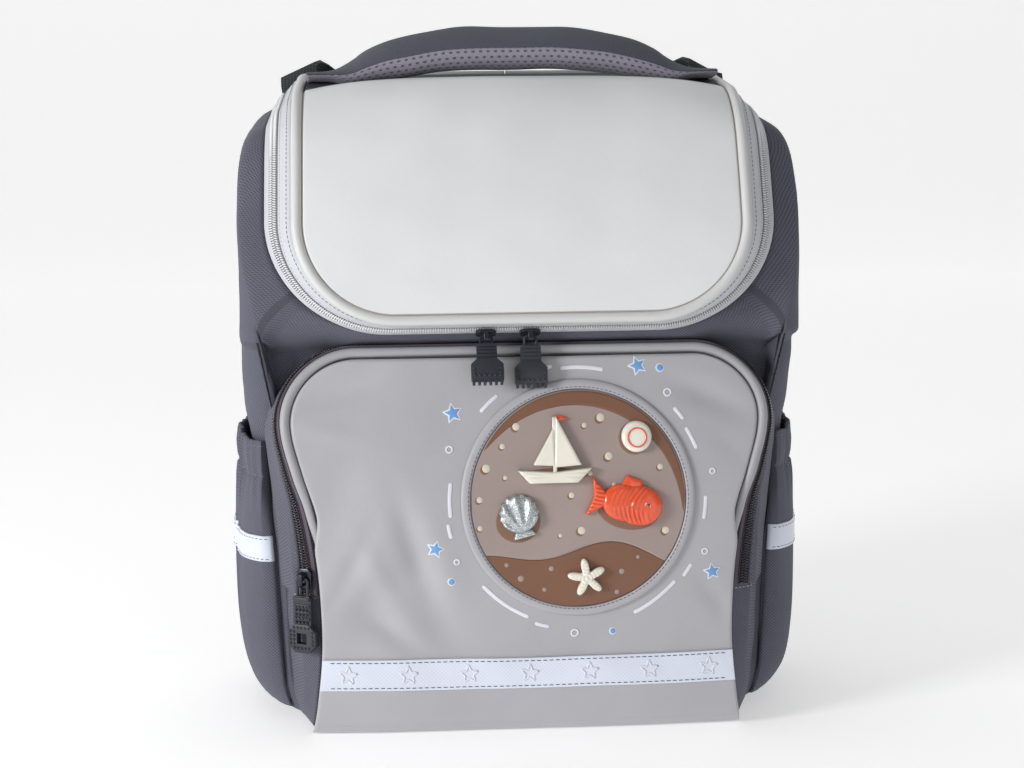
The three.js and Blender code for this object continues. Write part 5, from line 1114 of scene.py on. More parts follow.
    low = SHEET_DROP - SEWN_SEAT - BAND_THICKNESS
    plate_mesh(
        "reflective_band_sheet", np.linspace(BAND_FOOT, BAND_FOOT + BAND_HEIGHT, 18),
        lambda z: pocket_panel_half(z, panel_inset(z)) - GAP, lambda x, z: 0 * x - low,
        lambda x, z: 0 * x - SHEET_DROP + SEWN_SEAT - 0.45, lambda x, z, n: on_pocket(x, z, -n),
        M_BAND, across=110, edge=0.4, replaces=["reflective_band"], slot="reflective_sheet",
    )
    x = np.linspace(-109, 109, 300)
    for name, z in (("low", BAND_FOOT + 1.6), ("high", BAND_FOOT + BAND_HEIGHT - 1.6)):
        stitches(f"band_seam_{name}", on_pocket(x, z, low - 0.05), 3.4, 0.66, 0.26, M_THREAD_DARK)


# The badge
def on_badge(right, up, out):
    """A point of the badge about its own middle, out from the pocket's sheet."""
    return on_pocket(BADGE_X + right, BADGE_Z + up, SHEET_DROP - SEWN_SEAT - out)


def ground_line(right):
    """The height of the wavy edge between the badge's field and its ground."""
    share = right / BADGE_RADIUS
    return BADGE_RADIUS * (-0.42 + 0.07 * np.sin(5.2 * share) - 0.16 * share * share)


def badge_pieces():
    inner = BADGE_RADIUS - BADGE_RIM
    a = np.linspace(0, 2 * PI, 240, endpoint=False)
    r = inner + np.array([0, 0, 0.4, 1.4, 3.2, 4.4, BADGE_RIM, BADGE_RIM])
    out = np.array([-0.3, 0.9, 1.3, 1.55, 1.55, 1.2, 0.5, -0.3]) * BADGE_THICKNESS / 1.3
    grid = on_badge(r[None] * np.cos(a)[:, None], r[None] * np.sin(a)[:, None], out[None])
    sheet_mesh("badge_rim_ring", grid, M_RIM, u_closed=True, v_closed=True, replaces=["badge_rim"],
               slot="badge_sheet")
    b = np.linspace(0, 2 * PI, 400)
    for name, radius, lift, thread in (
        ("outer", BADGE_RADIUS - 0.9, 0.95, M_THREAD_CREAM), ("inner", inner + 1.0, 1.5, M_THREAD_DARK),
    ):
        line = on_badge(radius * np.cos(b), radius * np.sin(b), lift)
        stitches(f"badge_seam_{name}", line, 2.4, 0.6, 0.2, thread)
    field = inner - 2 * GAP
    wide = field * 0.995

    def circle(right):
        return np.sqrt(np.maximum(0, field * field - right * right))

    def sheet(name, right, low, high, material, **kw):
        v = np.linspace(0, 1, 60)
        up = lerp(low(right)[:, None], high(right)[:, None], v[None])
        top = on_badge(right[:, None], up, BADGE_FACE)
        under = on_badge(right[:, None], up, -0.2)
        grid = np.concatenate([top, under[:, ::-1]], axis=1)
        return sheet_mesh(name, grid, material, v_closed=True, caps=True, **kw)

    ease = np.sin(np.linspace(-PI / 2, PI / 2, 130))
    sheet("badge_field_sheet", wide * ease, lambda x: np.maximum(-circle(x), ground_line(x) + 0.25),
          circle, M_FIELD, replaces=["badge_field"], slot="badge_sheet")
    span = np.linspace(-field, field, 2000)
    meets = span[ground_line(span) > 0.6 - circle(span)]
    middle, reach = (meets[0] + meets[-1]) / 2, (meets[-1] - meets[0]) / 2
    sheet("badge_ground_sheet", middle + reach * ease, lambda x: -circle(x), ground_line, M_GROUND,
          replaces=["badge_ground"], slot="badge_sheet")


RINGS = [(1, 0), (1, 0.3), (0.985, 0.48), (0.94, 0.66), (0.88, 0.78), (0.8, 0.87)]
RINGS += [(k, 1.01 - 0.22 * k * k) for k in np.linspace(0.73, 0.02, 14)]


def refine_outline(outline, step=0.5):
    p = np.asarray(outline, float)
    closed = np.vstack([p, p[:1]])
    run = np.concatenate([[0], np.cumsum(np.linalg.norm(np.diff(closed, axis=0), axis=1))])
    count = max(16, int(run[-1] / step))
    want = np.linspace(0, run[-1], count, endpoint=False)
    return np.stack([np.interp(want, run, closed[:, k]) for k in range(2)], -1)


def soften(outline, times=3):
    p = np.asarray(outline, float)
    for _ in range(times):
        p = 0.5 * p + 0.25 * (np.roll(p, 1, 0) + np.roll(p, -1, 0))
    return p


def turned_on_badge(x, z, right, up, turn, out):
    """Points x, z of a shape set on the badge at right, up, turned by an angle in radians."""
    return on_badge(
        right + x * math.cos(turn) - z * math.sin(turn), up + x * math.sin(turn) + z * math.cos(turn), out
    )


def dome_part(outline, right, up, lift, turn=0.0, relief=None, rings=RINGS):
    """A raised shape with a rounded top on the badge."""
    a = math.radians(turn)
    o = soften(refine_outline(outline))
    rows = []
    for scale, rise in rings:
        x, z = o[:, 0] * scale, o[:, 1] * scale
        extra = relief(x, z) * smooth(rise, 0.3, 0.8) if relief else 0
        out = BADGE_THICKNESS + SEWN_SEAT - 0.55 * (rise == 0) + rise * lift + extra
        rows.append(turned_on_badge(x, z, right, up, a, out))
    grid = np.stack(rows)
    nu, nv = grid.shape[:2]
    quads, _ = grid_faces(nu, nv, False, True)
    faces = quads.tolist() + [list(range(nv)), [(nu - 1) * nv + i for i in range(nv)][::-1]]
    return grid.reshape(-1, 3), faces


def polar(count, radius):
    a = np.linspace(0, 2 * PI, count, endpoint=False)
    return np.stack([radius(a) * np.cos(a), radius(a) * np.sin(a)], -1)


def disc(count, radius):
    return polar(count, lambda a: radius + 0 * a)


def star_outline(points, outer, inner, turn=90):
    a = np.radians(turn) + np.arange(2 * points) * PI / points
    r = np.where(np.arange(2 * points) % 2 == 0, outer, inner)
    return np.stack([r * np.cos(a), r * np.sin(a)], -1)


# Each motif's place across and up the badge, and its size, as shares of the badge's radius
MOTIFS = {
    "fish": (0.44, -0.04, 0.27), "shell": (-0.5, -0.14, 0.2), "boat": (-0.2, 0.42, 0.32),
    "starfish": (0.06, -0.66, 0.16), "sun": (0.5, 0.52, 0.13),
}


def motif_pieces():
    def at(name):
        return [v * BADGE_RADIUS for v in MOTIFS[name]]

    flat_rings = [(1, 0), (1, 0.5), (0.97, 0.85), (0.9, 1.0), (0.6, 1.0), (0.02, 1.0)]
    fx, fz, fish = at("fish")
    body = polar(90, lambda a: fish * (0.62 + 0.38 * np.cos(a) ** 2) * np.where(np.cos(a) < 0, 0.92, 1))

    def scales(x, z):
        bend = x - 0.045 * z * z
        ribs = 0.42 * np.sin(bend * 2 * PI / 2.5) * smooth(fish * 0.5 - x, 0, 2)
        return ribs + 0.5 * np.exp(-(((bend - fish * 0.5) / 0.6) ** 2))

    swing = math.radians(-12)
    tail = np.array([[-0.55, 0], [-1.35, 0.62], [-1.2, 0], [-1.35, -0.62]]) * fish
    middle = -0.98 * fish
    tail_x, tail_z = fx + middle * math.cos(swing), fz + middle * math.sin(swing)
    fin = np.array([[-0.42, -0.12], [0.3, -0.14], [0.2, 0.16], [-0.3, 0.24]]) * fish
    fin_x, fin_z = fx - 0.62 * fish * math.sin(swing), fz + 0.62 * fish * math.cos(swing)
    parts = [
        dome_part(body, fx, fz, MOTIF_LIFT * 1.15, -12, scales),
        dome_part(fin, fin_x, fin_z, MOTIF_LIFT * 0.6, -12),
        dome_part(tail - [middle, 0], tail_x, tail_z, MOTIF_LIFT * 0.75, -12,
                  lambda x, z: 0.25 * np.sin(z * 2 * PI / 2.1)),
    ]
    merged("motif_fish_lacquer", parts, M_ORANGE, replaces=["motif_fish"], slot="motif_gloss")
    eye_x, eye_z = fx + 0.52 * fish * math.cos(swing), fz + 0.52 * fish * math.sin(swing) + 1.6
    ball = disc(30, 1.75)
    high = BADGE_THICKNESS + SEWN_SEAT + MOTIF_LIFT * 1.02
    merged("motif_fish_eye", [raised(ball, eye_x, eye_z, high - 1.6, 1.9)], M_IVORY)
    merged("motif_fish_pupil", [raised(ball * 0.5, eye_x + 0.25, eye_z + 0.1, high - 0.2, 0.9)], M_NAVY)

    sx, sz, shell = at("shell")
    ribs = 9

    def fan(a):
        up = np.sin(a)
        scallop = 1 + 0.05 * np.cos(2 * ribs * (a - PI / 2)) * smooth(up, -0.5, 0.2)
        return shell * scallop * (0.8 + 0.2 * up)

    def fluted(x, z):
        root = np.hypot(x, z + 0.75 * shell)
        turn = np.arctan2(z + 0.75 * shell, x)
        return 0.85 * np.cos(2 * ribs * (turn - PI / 2) * 0.8) * smooth(root, 0.25 * shell, 1.1 * shell)

    hinge = np.array([[-0.5, -0.12], [-0.36, 0.16], [0.36, 0.16], [0.5, -0.12]]) * shell
    tilt = math.radians(14)
    root_x, root_z = sx + 0.72 * shell * math.sin(tilt), sz - 0.72 * shell * math.cos(tilt)
    shell_parts = [
        dome_part(polar(200, fan), sx, sz, MOTIF_LIFT * 0.95, 14, fluted),
        dome_part(hinge, root_x, root_z, MOTIF_LIFT * 0.5, 14),
    ]
    merged("motif_shell_glitter", shell_parts, M_SILVER, replaces=["motif_shell"], slot="motif_silver")

    bx, bz, boat = at("boat")

    def part(outline, drop, lift, relief=None):
        o = (np.asarray(outline, float) + [0, drop]) * boat
        c = o.mean(0)
        return dome_part(o - c, bx + c[0], bz + c[1], lift, 0, relief, flat_rings)

    def planks(x, z):
        return 0.22 * np.sin(z * 2 * PI / 2.4)

    merged("motif_boat_lacquer", [
        part([[-1, 0.14], [-0.7, -0.2], [0.62, -0.2], [1, 0.18], [0, 0.08]], -0.62, MOTIF_LIFT, planks),
        part([[-0.05, -0.5], [0.05, -0.5], [0.05, 0.98], [-0.05, 0.98]], -0.1, MOTIF_LIFT * 0.6),
        part([[-0.02, -0.55], [0.72, -0.5], [0.04, 0.8]], 0.12, MOTIF_LIFT * 0.8),
        part([[0.02, -0.45], [-0.58, -0.42], [-0.02, 0.55]], 0.06, MOTIF_LIFT * 0.75),
    ], M_IVORY, replaces=["motif_boat"], slot="motif_gloss")
    flag = np.array([[0, 0], [0.34, -0.09], [0, -0.2]]) * boat
    flag_x, flag_z = flag.mean(0)
    pennant = raised(flag - [flag_x, flag_z], bx + flag_x + 0.9, bz + 0.93 * boat + flag_z, 1.6, 1.6)
    merged("motif_boat_pennant", [pennant], M_ORANGE)

    tx, tz, star = at("starfish")
    arms = polar(120, lambda a: star * (0.7 + 0.36 * np.cos(5 * a)))

    def knobs(x, z):
        return 0.2 * np.sin(np.hypot(x, z) * 2 * PI / 1.9)

    starfish = [dome_part(arms, tx, tz, MOTIF_LIFT * 0.8, 100, knobs)]
    merged("motif_starfish_lacquer", starfish, M_IVORY, replaces=["motif_starfish"], slot="motif_gloss")
    ux, uz, sun = at("sun")
    sun_parts = [dome_part(disc(70, sun), ux, uz, MOTIF_LIFT * 0.9)]
    merged("motif_sun_lacquer", sun_parts, M_IVORY, replaces=["motif_sun"], slot="motif_gloss")
    rise = BADGE_THICKNESS + SEWN_SEAT + MOTIF_LIFT * 0.9
    rays = [outline_ring(disc(60, sun * 0.6), ux, uz, rise - 0.5, 0.75, 0.7)]
    merged("motif_sun_ring", rays, M_ORANGE)

    crescent_edge = (BADGE_RADIUS - BADGE_RIM - 2 * GAP) * 0.992
    crescent_width = 8.0
    a = np.linspace(math.radians(-8), math.radians(152), 80)
    ray = np.stack([np.cos(a), np.sin(a)], -1)
    outer_line = crescent_edge * ray
    thick = crescent_width * np.sin((a - a[0]) / (a[-1] - a[0]) * PI) ** 0.7
    inner_line = (crescent_edge - thick)[:, None] * ray
    grid = np.stack([lerp(outer_line, inner_line, f) for f in np.linspace(0, 1, 7)])
    top = on_badge(grid[..., 0], grid[..., 1], BADGE_FACE + 0.12)
    under = on_badge(grid[..., 0], grid[..., 1], BADGE_FACE - 0.2)
    sheet_mesh("badge_crescent", np.concatenate([top, under[::-1]]), M_GROUND, u_closed=True)
    shade_rings = []
    for x, z, wide, tall, turn in (
        (fx - 1.4, fz - 3.4, fish * 1.0, fish * 0.62, -12),
        (bx, bz - 0.66 * boat, boat * 0.86, boat * 0.2, 0),
        (sx - 1.2, sz - 2.0, shell * 0.95, shell * 0.9, 0), (ux - 1, uz - 1.0, sun * 1.05, sun * 1.05, 0),
    ):
        shade_rings.append(raised(disc(60, 1) * [wide, tall], x, z, PRINT_BASE, 0.28, turn))

    def dots(places):
        return [
            raised(disc(20, r), x * BADGE_RADIUS, z * BADGE_RADIUS, PRINT_BASE, 0.3)
            for x, z, r in places
        ]

    spots = [
        (-0.78, 0.28, 2.2), (-0.64, 0.46, 1.5), (-0.52, 0.62, 2.0), (0.06, 0.62, 1.4), (0.2, 0.68, 2.2),
        (0.3, 0.12, 1.2), (0.7, 0.26, 1.6), (0.74, -0.28, 2.0), (0.26, 0.36, 2.1), (-0.06, 0.04, 1.6),
        (0.1, 0.22, 1.2), (-0.84, 0.02, 1.7), (0.02, -0.26, 2.1), (-0.62, 0.2, 1.2), (-0.16, -0.3, 1.1),
        (-0.84, -0.22, 1.5),
    ]
    merged("badge_dot_print", dots(spots), M_DOT)
    for x, z, r in spots:
        shade_x, shade_z = x * BADGE_RADIUS - 0.45 * r, z * BADGE_RADIUS - 0.4 * r
        shade_rings.append(raised(disc(20, r * 1.12), shade_x, shade_z, PRINT_BASE, 0.2))
    merged("badge_shadow_print", shade_rings, M_SHADOW)
    pebbles = [
        (-0.5, -0.66, 1.7), (-0.3, -0.76, 1.2), (0.36, -0.62, 1.5), (0.5, -0.5, 1.1), (-0.24, -0.58, 1.4),
        (0.32, -0.8, 1.3), (-0.62, -0.54, 1.2),
    ]
    merged("badge_pebble_print", dots(pebbles), M_FIELD)


def raised(outline, right, up, base, lift, turn=0.0):
    """A thin raised shape on the badge or, for prints, on the sheet about it."""
    a = math.radians(turn)
    o = np.asarray(outline, float)
    rows = []
    for scale, rise in ((1, 0), (1, 0.7), (0.93, 1.0), (0.02, 1.0)):
        x, z = o[:, 0] * scale, o[:, 1] * scale
        rows.append(turned_on_badge(x, z, right, up, a, base + rise * lift))
    grid = np.stack(rows)
    quads, _ = grid_faces(4, len(o), False, True)
    n = len(o)
    return grid.reshape(-1, 3), quads.tolist() + [list(range(n)), [3 * n + i for i in range(n)][::-1]]


def outline_ring(outline, right, up, base, lift, width, turn=0.0):
    """A raised line of some width along a closed outline."""
    a = math.radians(turn)
    o = refine_outline(outline, 0.6)
    tangent = unit(np.roll(o, -1, 0) - np.roll(o, 1, 0))
    normal = np.stack([tangent[:, 1], -tangent[:, 0]], -1)
    rows = []
    for side, rise in ((-0.5, 0), (-0.5, 1), (0.5, 1), (0.5, 0)):
        p = o + normal * width * side
        x, z = p[:, 0], p[:, 1]
        rows.append(turned_on_badge(x, z, right, up, a, base + rise * lift))
    quads, _ = grid_faces(len(rows), len(o), True, True)
    grid = np.stack(rows)
    return grid.reshape(-1, 3), quads.tolist()


def prints():
    """Marks printed round the badge, and the stars of the reflective band."""
    white, blue = [], []
    sheet = -SEWN_SEAT - 0.05

    def where(angle, radius):
        a = math.radians(angle)
        return radius * math.cos(a), radius * math.sin(a)

    def arc(first, last, radius, width):
        """A bent dash along the badge's edge, as a closed outline about its own middle."""
        a = np.radians(np.linspace(first, last, 24))
        b = np.radians(np.linspace(0, 180, 7)[1:-1])

        def ray(at, reach):
            return reach * np.stack([np.cos(at), np.sin(at)], -1)

        def end(at, turn):
            return ray(at, radius) + ray(at + turn, width / 2)

        outer = ray(a, radius + width / 2)
        inner = ray(a, radius - width / 2)
        points = np.concatenate([outer, end(a[-1], b), inner[::-1], end(a[0], b + PI)])
        middle = radius * np.array([math.cos(a[12]), math.sin(a[12])])
        return points - middle, middle

    for first, last, radius in (
        (22, 31, 70), (36, 41, 71.5), (78, 96, 70), (101, 106, 72), (128, 137, 70.5), (172, 186, 70),
        (190, 195, 72), (222, 246, 70), (251, 256, 72), (296, 318, 70.5), (323, 328, 72.5), (350, 359, 70),
    ):
        outline, (x, z) = arc(first, last, radius, 2.0)
        white.append(raised(outline, x, z, sheet, 0.3))
    for angle, radius, size in (
        (48, 75, 1.9), (113, 74, 1.5), (158, 75, 1.7), (206, 74, 1.4), (268, 74, 1.9), (336, 76, 1.5),
        (10, 75, 1.4),
    ):
        white.append(outline_ring(disc(24, size), *where(angle, radius), sheet, 0.3, 0.9))
    for angle, radius, size in ((121, 80, 1.9), (212, 82, 1.7), (56, 83, 1.8), (284, 76, 1.5)):
        x, z = where(angle, radius)
        white.append(raised(disc(26, size + 0.55), x, z, sheet, 0.22))
        blue.append(raised(disc(26, size), x, z, sheet + 0.1, 0.3))
    for angle, radius, size, turn in (
        (145, 82, 4.6, 12), (198, 82, 4.2, -14), (64, 78, 4.4, 20), (330, 85, 4.2, 8),
    ):
        x, z = where(angle, radius)
        white.append(raised(star_outline(5, size * 1.28, size * 0.66), x, z, sheet, 0.22, turn))
        blue.append(raised(star_outline(5, size, size * 0.45), x, z, sheet + 0.1, 0.3, turn))
    merged("pocket_white_print", white, M_PRINT_WHITE)
    merged("pocket_blue_print", blue, M_PRINT_BLUE)
    stars = []
    low = SHEET_DROP - SEWN_SEAT - BAND_THICKNESS
    base = SHEET_DROP - SEWN_SEAT - low - 0.1
    for i in range(7):
        x = (i - 3) * 33 - BADGE_X
        z = BAND_FOOT + BAND_HEIGHT / 2 - BADGE_Z
        stars.append(outline_ring(star_outline(5, 5.2, 2.35), x, z, base, 0.42, 0.9, 4 * (i % 3 - 1)))
    merged("band_stars", stars, M_PRINT_WHITE)


# The side pockets
SIDE = table(("height", "bulge", "gather", "fold"), [
    (0, 0, 0, 0), (0.05, 0.3, 0, 0), (0.12, 0.62, 0, 0), (0.28, 0.92, 0.05, 0.1),
    (0.45, 1, 0.2, 0.4), (0.65, 0.95, 0.5, 0.9), (0.8, 0.75, 0.85, 1), (0.87, 0.52, 1, 0.7),
    (0.94, 0.62, 0.8, 0.4), (1, 0.45, 0.7, 0.2),
])
FOLD_PLACE, FOLD_REACH = 0.36, 0.045


def side_line(z, t):
    """Points and outward normals of the right side's line on the body at height z."""
    half, front, corner = body_row(z)
    back = BASE_BACK_CORNER
    reach = float(pocket_half(min(z, POCKET_HEIGHT), "body")) + SIDE_MARGIN - (half - corner)
    first = -math.degrees(math.acos(min(max(reach / corner, 0), 0.7)))
    knots = np.array([0, 1, 2, 3, 6, 9, 11, 13, 14]) / 14
    a = np.radians(np.interp(t, knots[:4], [first, -45, -22.5, 0]))
    f = np.interp(t, knots[3:8], [0, 0.25, 0.5, 0.75, 1])
    b = np.radians(np.interp(t, knots[7:], [0, 45]))
    bowed = half + SIDE_BULGE * (1 - (2 * f - 1) ** 2)
    x = np.where(t < knots[3], half - corner + corner * np.cos(a), bowed)
    y = lerp(front + corner, BACK_Y - back, f)
    y = np.where(t < knots[3], front + corner + corner * np.sin(a), y)
    x = np.where(t > knots[7], half - back + back * np.cos(b), x)
    y = np.where(t > knots[7], BACK_Y - back + back * np.sin(b), y)
    p = stack(x, y, z)
    along = unit(np.gradient(p, axis=0))
    return p, stack(along[:, 1], -along[:, 0], 0)


def side_off(t, z, side):
    """How far the side pocket's cloth stands off the body, with its folds and gathers."""
    share = (z - SIDE_FOOT) / (SIDE_TOP - SIDE_FOOT)
    bulge, gather, fold_depth = (
        float(column(SIDE, k, share, "height")) for k in ("bulge", "gather", "fold")
    )
    swell = np.sqrt(np.maximum(0, np.sin(PI * t)))
    lean = FOLD_PLACE + 0.02 * math.sin(z / 17)
    fold = 0.75 * fold_depth * np.exp(-(((t - lean) / FOLD_REACH) ** 2))
    ruffle = 0.5 + 0.5 * np.sin(2 * PI * GATHERS * t)
    off = SIDE_POCKET_BULGE * bulge * (1 - fold) + GATHER_DEPTH * gather * ruffle
    fine = np.sin(2 * PI * 23 * t + 2.5 * np.sin(9 * t + side) + z / 30)
    fine = fine + 0.6 * np.sin(2 * PI * 37 * t + 1.7 - z / 22)
    pinch = math.exp(-(((z - (SIDE_TOP - HEM)) / 1.3) ** 2))
    pucker = float(smooth(np.float64(z), SIDE_TOP - HEM - 30, SIDE_TOP - HEM))
    off = off + 0.75 * pucker * gather * fine * (1 - 0.4 * pinch) - 1.3 * pinch
    return GAP + np.maximum(off * swell, 0)


def side_wall(name, heights, low, high, side, t, material, **kw):
    """A layer of a side pocket between two distances from its cloth's inner face."""
    outer, inner = [], []
    for z in heights:
        line, normal = side_line(z, t)
        off = side_off(t, z, side)[:, None]
        outer.append(line + normal * (off + high))
        inner.append(line + normal * (off + low))
    outer, inner = np.stack(outer), np.stack(inner)
    rise = (high - low) * (0.5 + 0.35 * np.sin(2 * PI * 13 * t + 1.2 * np.sin(7 * t)) * np.sin(PI * t))
    rim = outer[-1] * 0.5 + inner[-1] * 0.5 + stack(0 * t, 0 * t, rise)
    over = 0.5 * (outer[-1] + rim) + 0.2 * (outer[-1] - inner[-1])
    back = 0.5 * (inner[-1] + rim) - 0.2 * (outer[-1] - inner[-1])
    grid = np.concatenate([outer, [over, rim, back], inner[::-1]])
    grid = np.transpose(grid, (1, 0, 2)) * [side, 1, 1]
    weave = (lengths(grid[:, 30 % grid.shape[1]], False), lengths(grid[len(t) // 2], True))
    return sheet_mesh(name, grid, material, v_closed=True, caps=True, weave=weave, **kw)


def side_pieces():
    t = np.linspace(0, 1, 240)
    hem = SIDE_TOP - HEM
    heights = np.concatenate([
        np.linspace(SIDE_FOOT, hem - 5, 46), np.linspace(hem - 4, hem + 4, 9),
        np.linspace(hem + 5.5, SIDE_TOP - 1, 12),
    ])
    band = np.linspace(SIDE_BAND_FOOT, SIDE_BAND_FOOT + SIDE_BAND_HEIGHT, 14)
    seams = (
        (hem, M_THREAD_GREY, 0.1), (SIDE_TOP - 3, M_THREAD_GREY, 0.1), (band[0] + 1.3, M_THREAD_DARK, 0.8),
        (band[-1] - 1.3, M_THREAD_DARK, 0.8),
    )
    for name, side in (("left", -1), ("right", 1)):
        side_wall(f"side_pocket_{name}_cloth", heights, 0, SIDE_WALL, side, t, M_TWILL,
                  replaces=[f"side_pocket_{name}"], slot="grey_cloth")
        side_wall(f"side_band_{name}_sheet", band, SIDE_WALL - 0.2, SIDE_WALL + 0.8, side, t, M_BAND,
                  replaces=[f"side_band_{name}"], slot="reflective_sheet")
        for z, thread, lift in seams:
            line, normal = side_line(z, t)
            off = side_off(t, z, side)[:, None] + SIDE_WALL + lift
            seam = (line + normal * off) * [side, 1, 1]
            stitches(f"side_seam_{name}_{int(z)}", seam[4:-4], 3.0, 0.62, 0.22, thread)


# The handle
HANDLE = table(("along", "rise", "thick"), [
    (0, 1, 1), (0.3, 0.95, 1), (0.58, 0.5, 0.9), (0.715, 0.2, 0.72), (0.8, 0.02, 0.42),
    (0.88, 0, 0.12), (1, 0, 0),
])


def handle_part(name, u, angles, clear, material, bulge=0.0, **kw):
    """One half of the padded handle: its cover or its lining."""
    seat = on_lid(0, LID_SEAM + HANDLE_SETBACK, -LID_EDGE_DROP)
    rings = []
    for value in u:
        share = abs(value)
        thick_share = float(column(HANDLE, "thick", share, "along"))
        rise = float(column(HANDLE, "rise", share, "along"))
        thick = lerp(HANDLE_END, HANDLE_THICK, thick_share)
        tilt = lerp(-LID_TOP, HANDLE_TILT, thick_share)
        a, b = HANDLE_WIDTH / 2, thick / 2
        low = math.hypot(a * math.sin(tilt), b * math.cos(tilt))
        under = max(low, b + a * math.sin(LID_TOP) * (1 - thick_share))
        centre = seat[2] + GAP + HANDLE_RISE * rise + under
        r = np.radians(angles(thick_share))
        across = -a * np.cos(r)
        up = (b + bulge * thick_share) * np.sin(r) + clear
        y = seat[1] + across * math.cos(tilt) - up * math.sin(tilt)
        z = centre + across * math.sin(tilt) + up * math.cos(tilt)
        rings.append(stack(value * HANDLE_HALF, y, z))
    grid = np.stack(rings)
    chord = lerp(grid[:, -1:], grid[:, :1], np.linspace(0, 1, 8)[1:-1][None, :, None])
    grid = np.concatenate([grid, chord], axis=1)
    wave = ripple(grid, 30, 11) * smooth(1 - np.abs(u), 0.2, 0.5)[:, None]
    grid = grid + 0.25 * wave[..., None] * [0, 0.5, 1]
    weave = (lengths(grid[:, 10], False), lengths(grid[len(u) // 2], True))
    return sheet_mesh(name, grid, material, v_closed=True, caps=True, weave=weave, **kw)


def handle_pieces():
    u = np.linspace(-1, 1, 150)
    steps = np.linspace(0, 1, 34)

    def split(thick):
        return lerp(4, 28, thick)

    cover = handle_part(
        "handle_cover_cloth", u, lambda k: split(k) + (176 - split(k)) * steps, GAP / 2, M_TWILL_DARK,
        replaces=["handle_cover"], slot="grey_cloth",
    )
    lining = handle_part(
        "handle_lining_mesh", u, lambda k: split(k) - (184 + split(k)) * steps, -GAP / 2, M_MESH,
        bulge=2.6, replaces=["handle_lining"], slot="lilac_mesh",
    )


# The back
STRAP = table(("down", "out", "off", "wide", "thick"), [
    (0, 0, 0.1, 0.9, 0.6), (0.08, 0, 0.42, 1, 0.9), (0.25, 0.08, 0.92, 1, 1), (0.45, 0.28, 1, 1, 1),
    (0.7, 0.62, 0.78, 0.92, 1), (0.9, 0.9, 0.55, 0.78, 0.9), (1, 1, 0.42, 0.6, 0.6),
])


def strap_middle(down, side):
    """The middle line of a shoulder strap, from its top at 0 to its foot at 1."""
    rest = BACK_Y + BACK_THICK + 2 * GAP + STRAP_THICK / 2
    return stack(side * lerp(STRAP_RUN, STRAP_FOOT_RUN, column(STRAP, "out", down, "down")),
                 rest + STRAP_REACH * column(STRAP, "off", down, "down"), STRAP_TOP - STRAP_LENGTH * down)


def back_pieces():
    radius = BACK_CORNER

    def half(z):
        near = min(z - BACK_FOOT, BACK_TOP - z)
        left = np.clip(radius - near, 0, radius)
        return BACK_HALF - radius + np.sqrt(radius * radius - left * left)

    bend = radius * (1 - np.cos(np.linspace(0, PI / 2, 16)))
    straight = np.linspace(BACK_FOOT + radius, BACK_TOP - radius, 90)[1:-1]
    rows = np.concatenate([BACK_FOOT + bend, straight, (BACK_TOP - bend)[::-1]])
    rim = BACK_THICK * 0.45
    groove_run = 26

    def pad(x, z):
        u = np.clip(x / half(z), -1, 1)
        up = np.clip((z - BACK_FOOT) / (BACK_TOP - BACK_FOOT), 0, 1)
        full = rim + (BACK_THICK - rim) * (1 - u**4) * min(1, 8 * up * (1 - up))
        across_groove = np.exp(-(((z - 120) % 70 - 35) / 2.4) ** 2) * (np.abs(x) > groove_run)
        groove = np.exp(-((np.abs(x) - groove_run) / 2.6) ** 2) + across_groove
        return full - 2.4 * np.minimum(groove, 1) * (1 - u**6)

    panel = plate_mesh(
        "back_panel_pad", rows, half, pad, lambda x, z: 0 * x,
        lambda x, z, n: stack(x, BACK_Y + GAP + n, z), M_BACK_MESH, across=110, edge=2.2,
        replaces=["back_panel"], slot="dark_mesh",
    )
    for name, side in (("left", -1), ("right", 1)):
        down = np.linspace(0, 1, 100)
        middle = strap_middle(down, side)
        along = unit(np.gradient(middle, axis=0))
        out = unit(np.array([1.0, 0, 0]) - along * along[:, :1])
        away = unit(np.cross(out, along))
        away = away * np.where(away[:, 1:2] < 0, -1, 1)
        a = np.linspace(0, 2 * PI, 56, endpoint=False)
        c, s = np.cos(a), np.sin(a)
        wide = np.sign(c) * np.abs(c) ** 0.5
        tall = np.sign(s) * np.abs(s) ** 0.6
        w = STRAP_WIDTH / 2 * column(STRAP, "wide", down, "down")
        h = STRAP_THICK / 2 * column(STRAP, "thick", down, "down")
        nose = np.sqrt(np.clip(np.minimum(down / 0.012, (1 - down) / 0.02), 0.12, 1))
        wide_part = out[:, None] * (w * nose)[:, None, None] * wide[None, :, None]
        tall_part = away[:, None] * (h * nose)[:, None, None] * tall[None, :, None]
        seam = 1 - 0.12 * np.exp(-((np.abs(wide) - 0.86) / 0.05) ** 2)
        grid = middle[:, None] + (wide_part + tall_part) * seam[None, :, None]
        strap = sheet_mesh(f"shoulder_strap_{name}_pad", grid, M_BACK_MESH, v_closed=True, caps=True,
                           replaces=[f"shoulder_strap_{name}"], slot="dark_mesh")


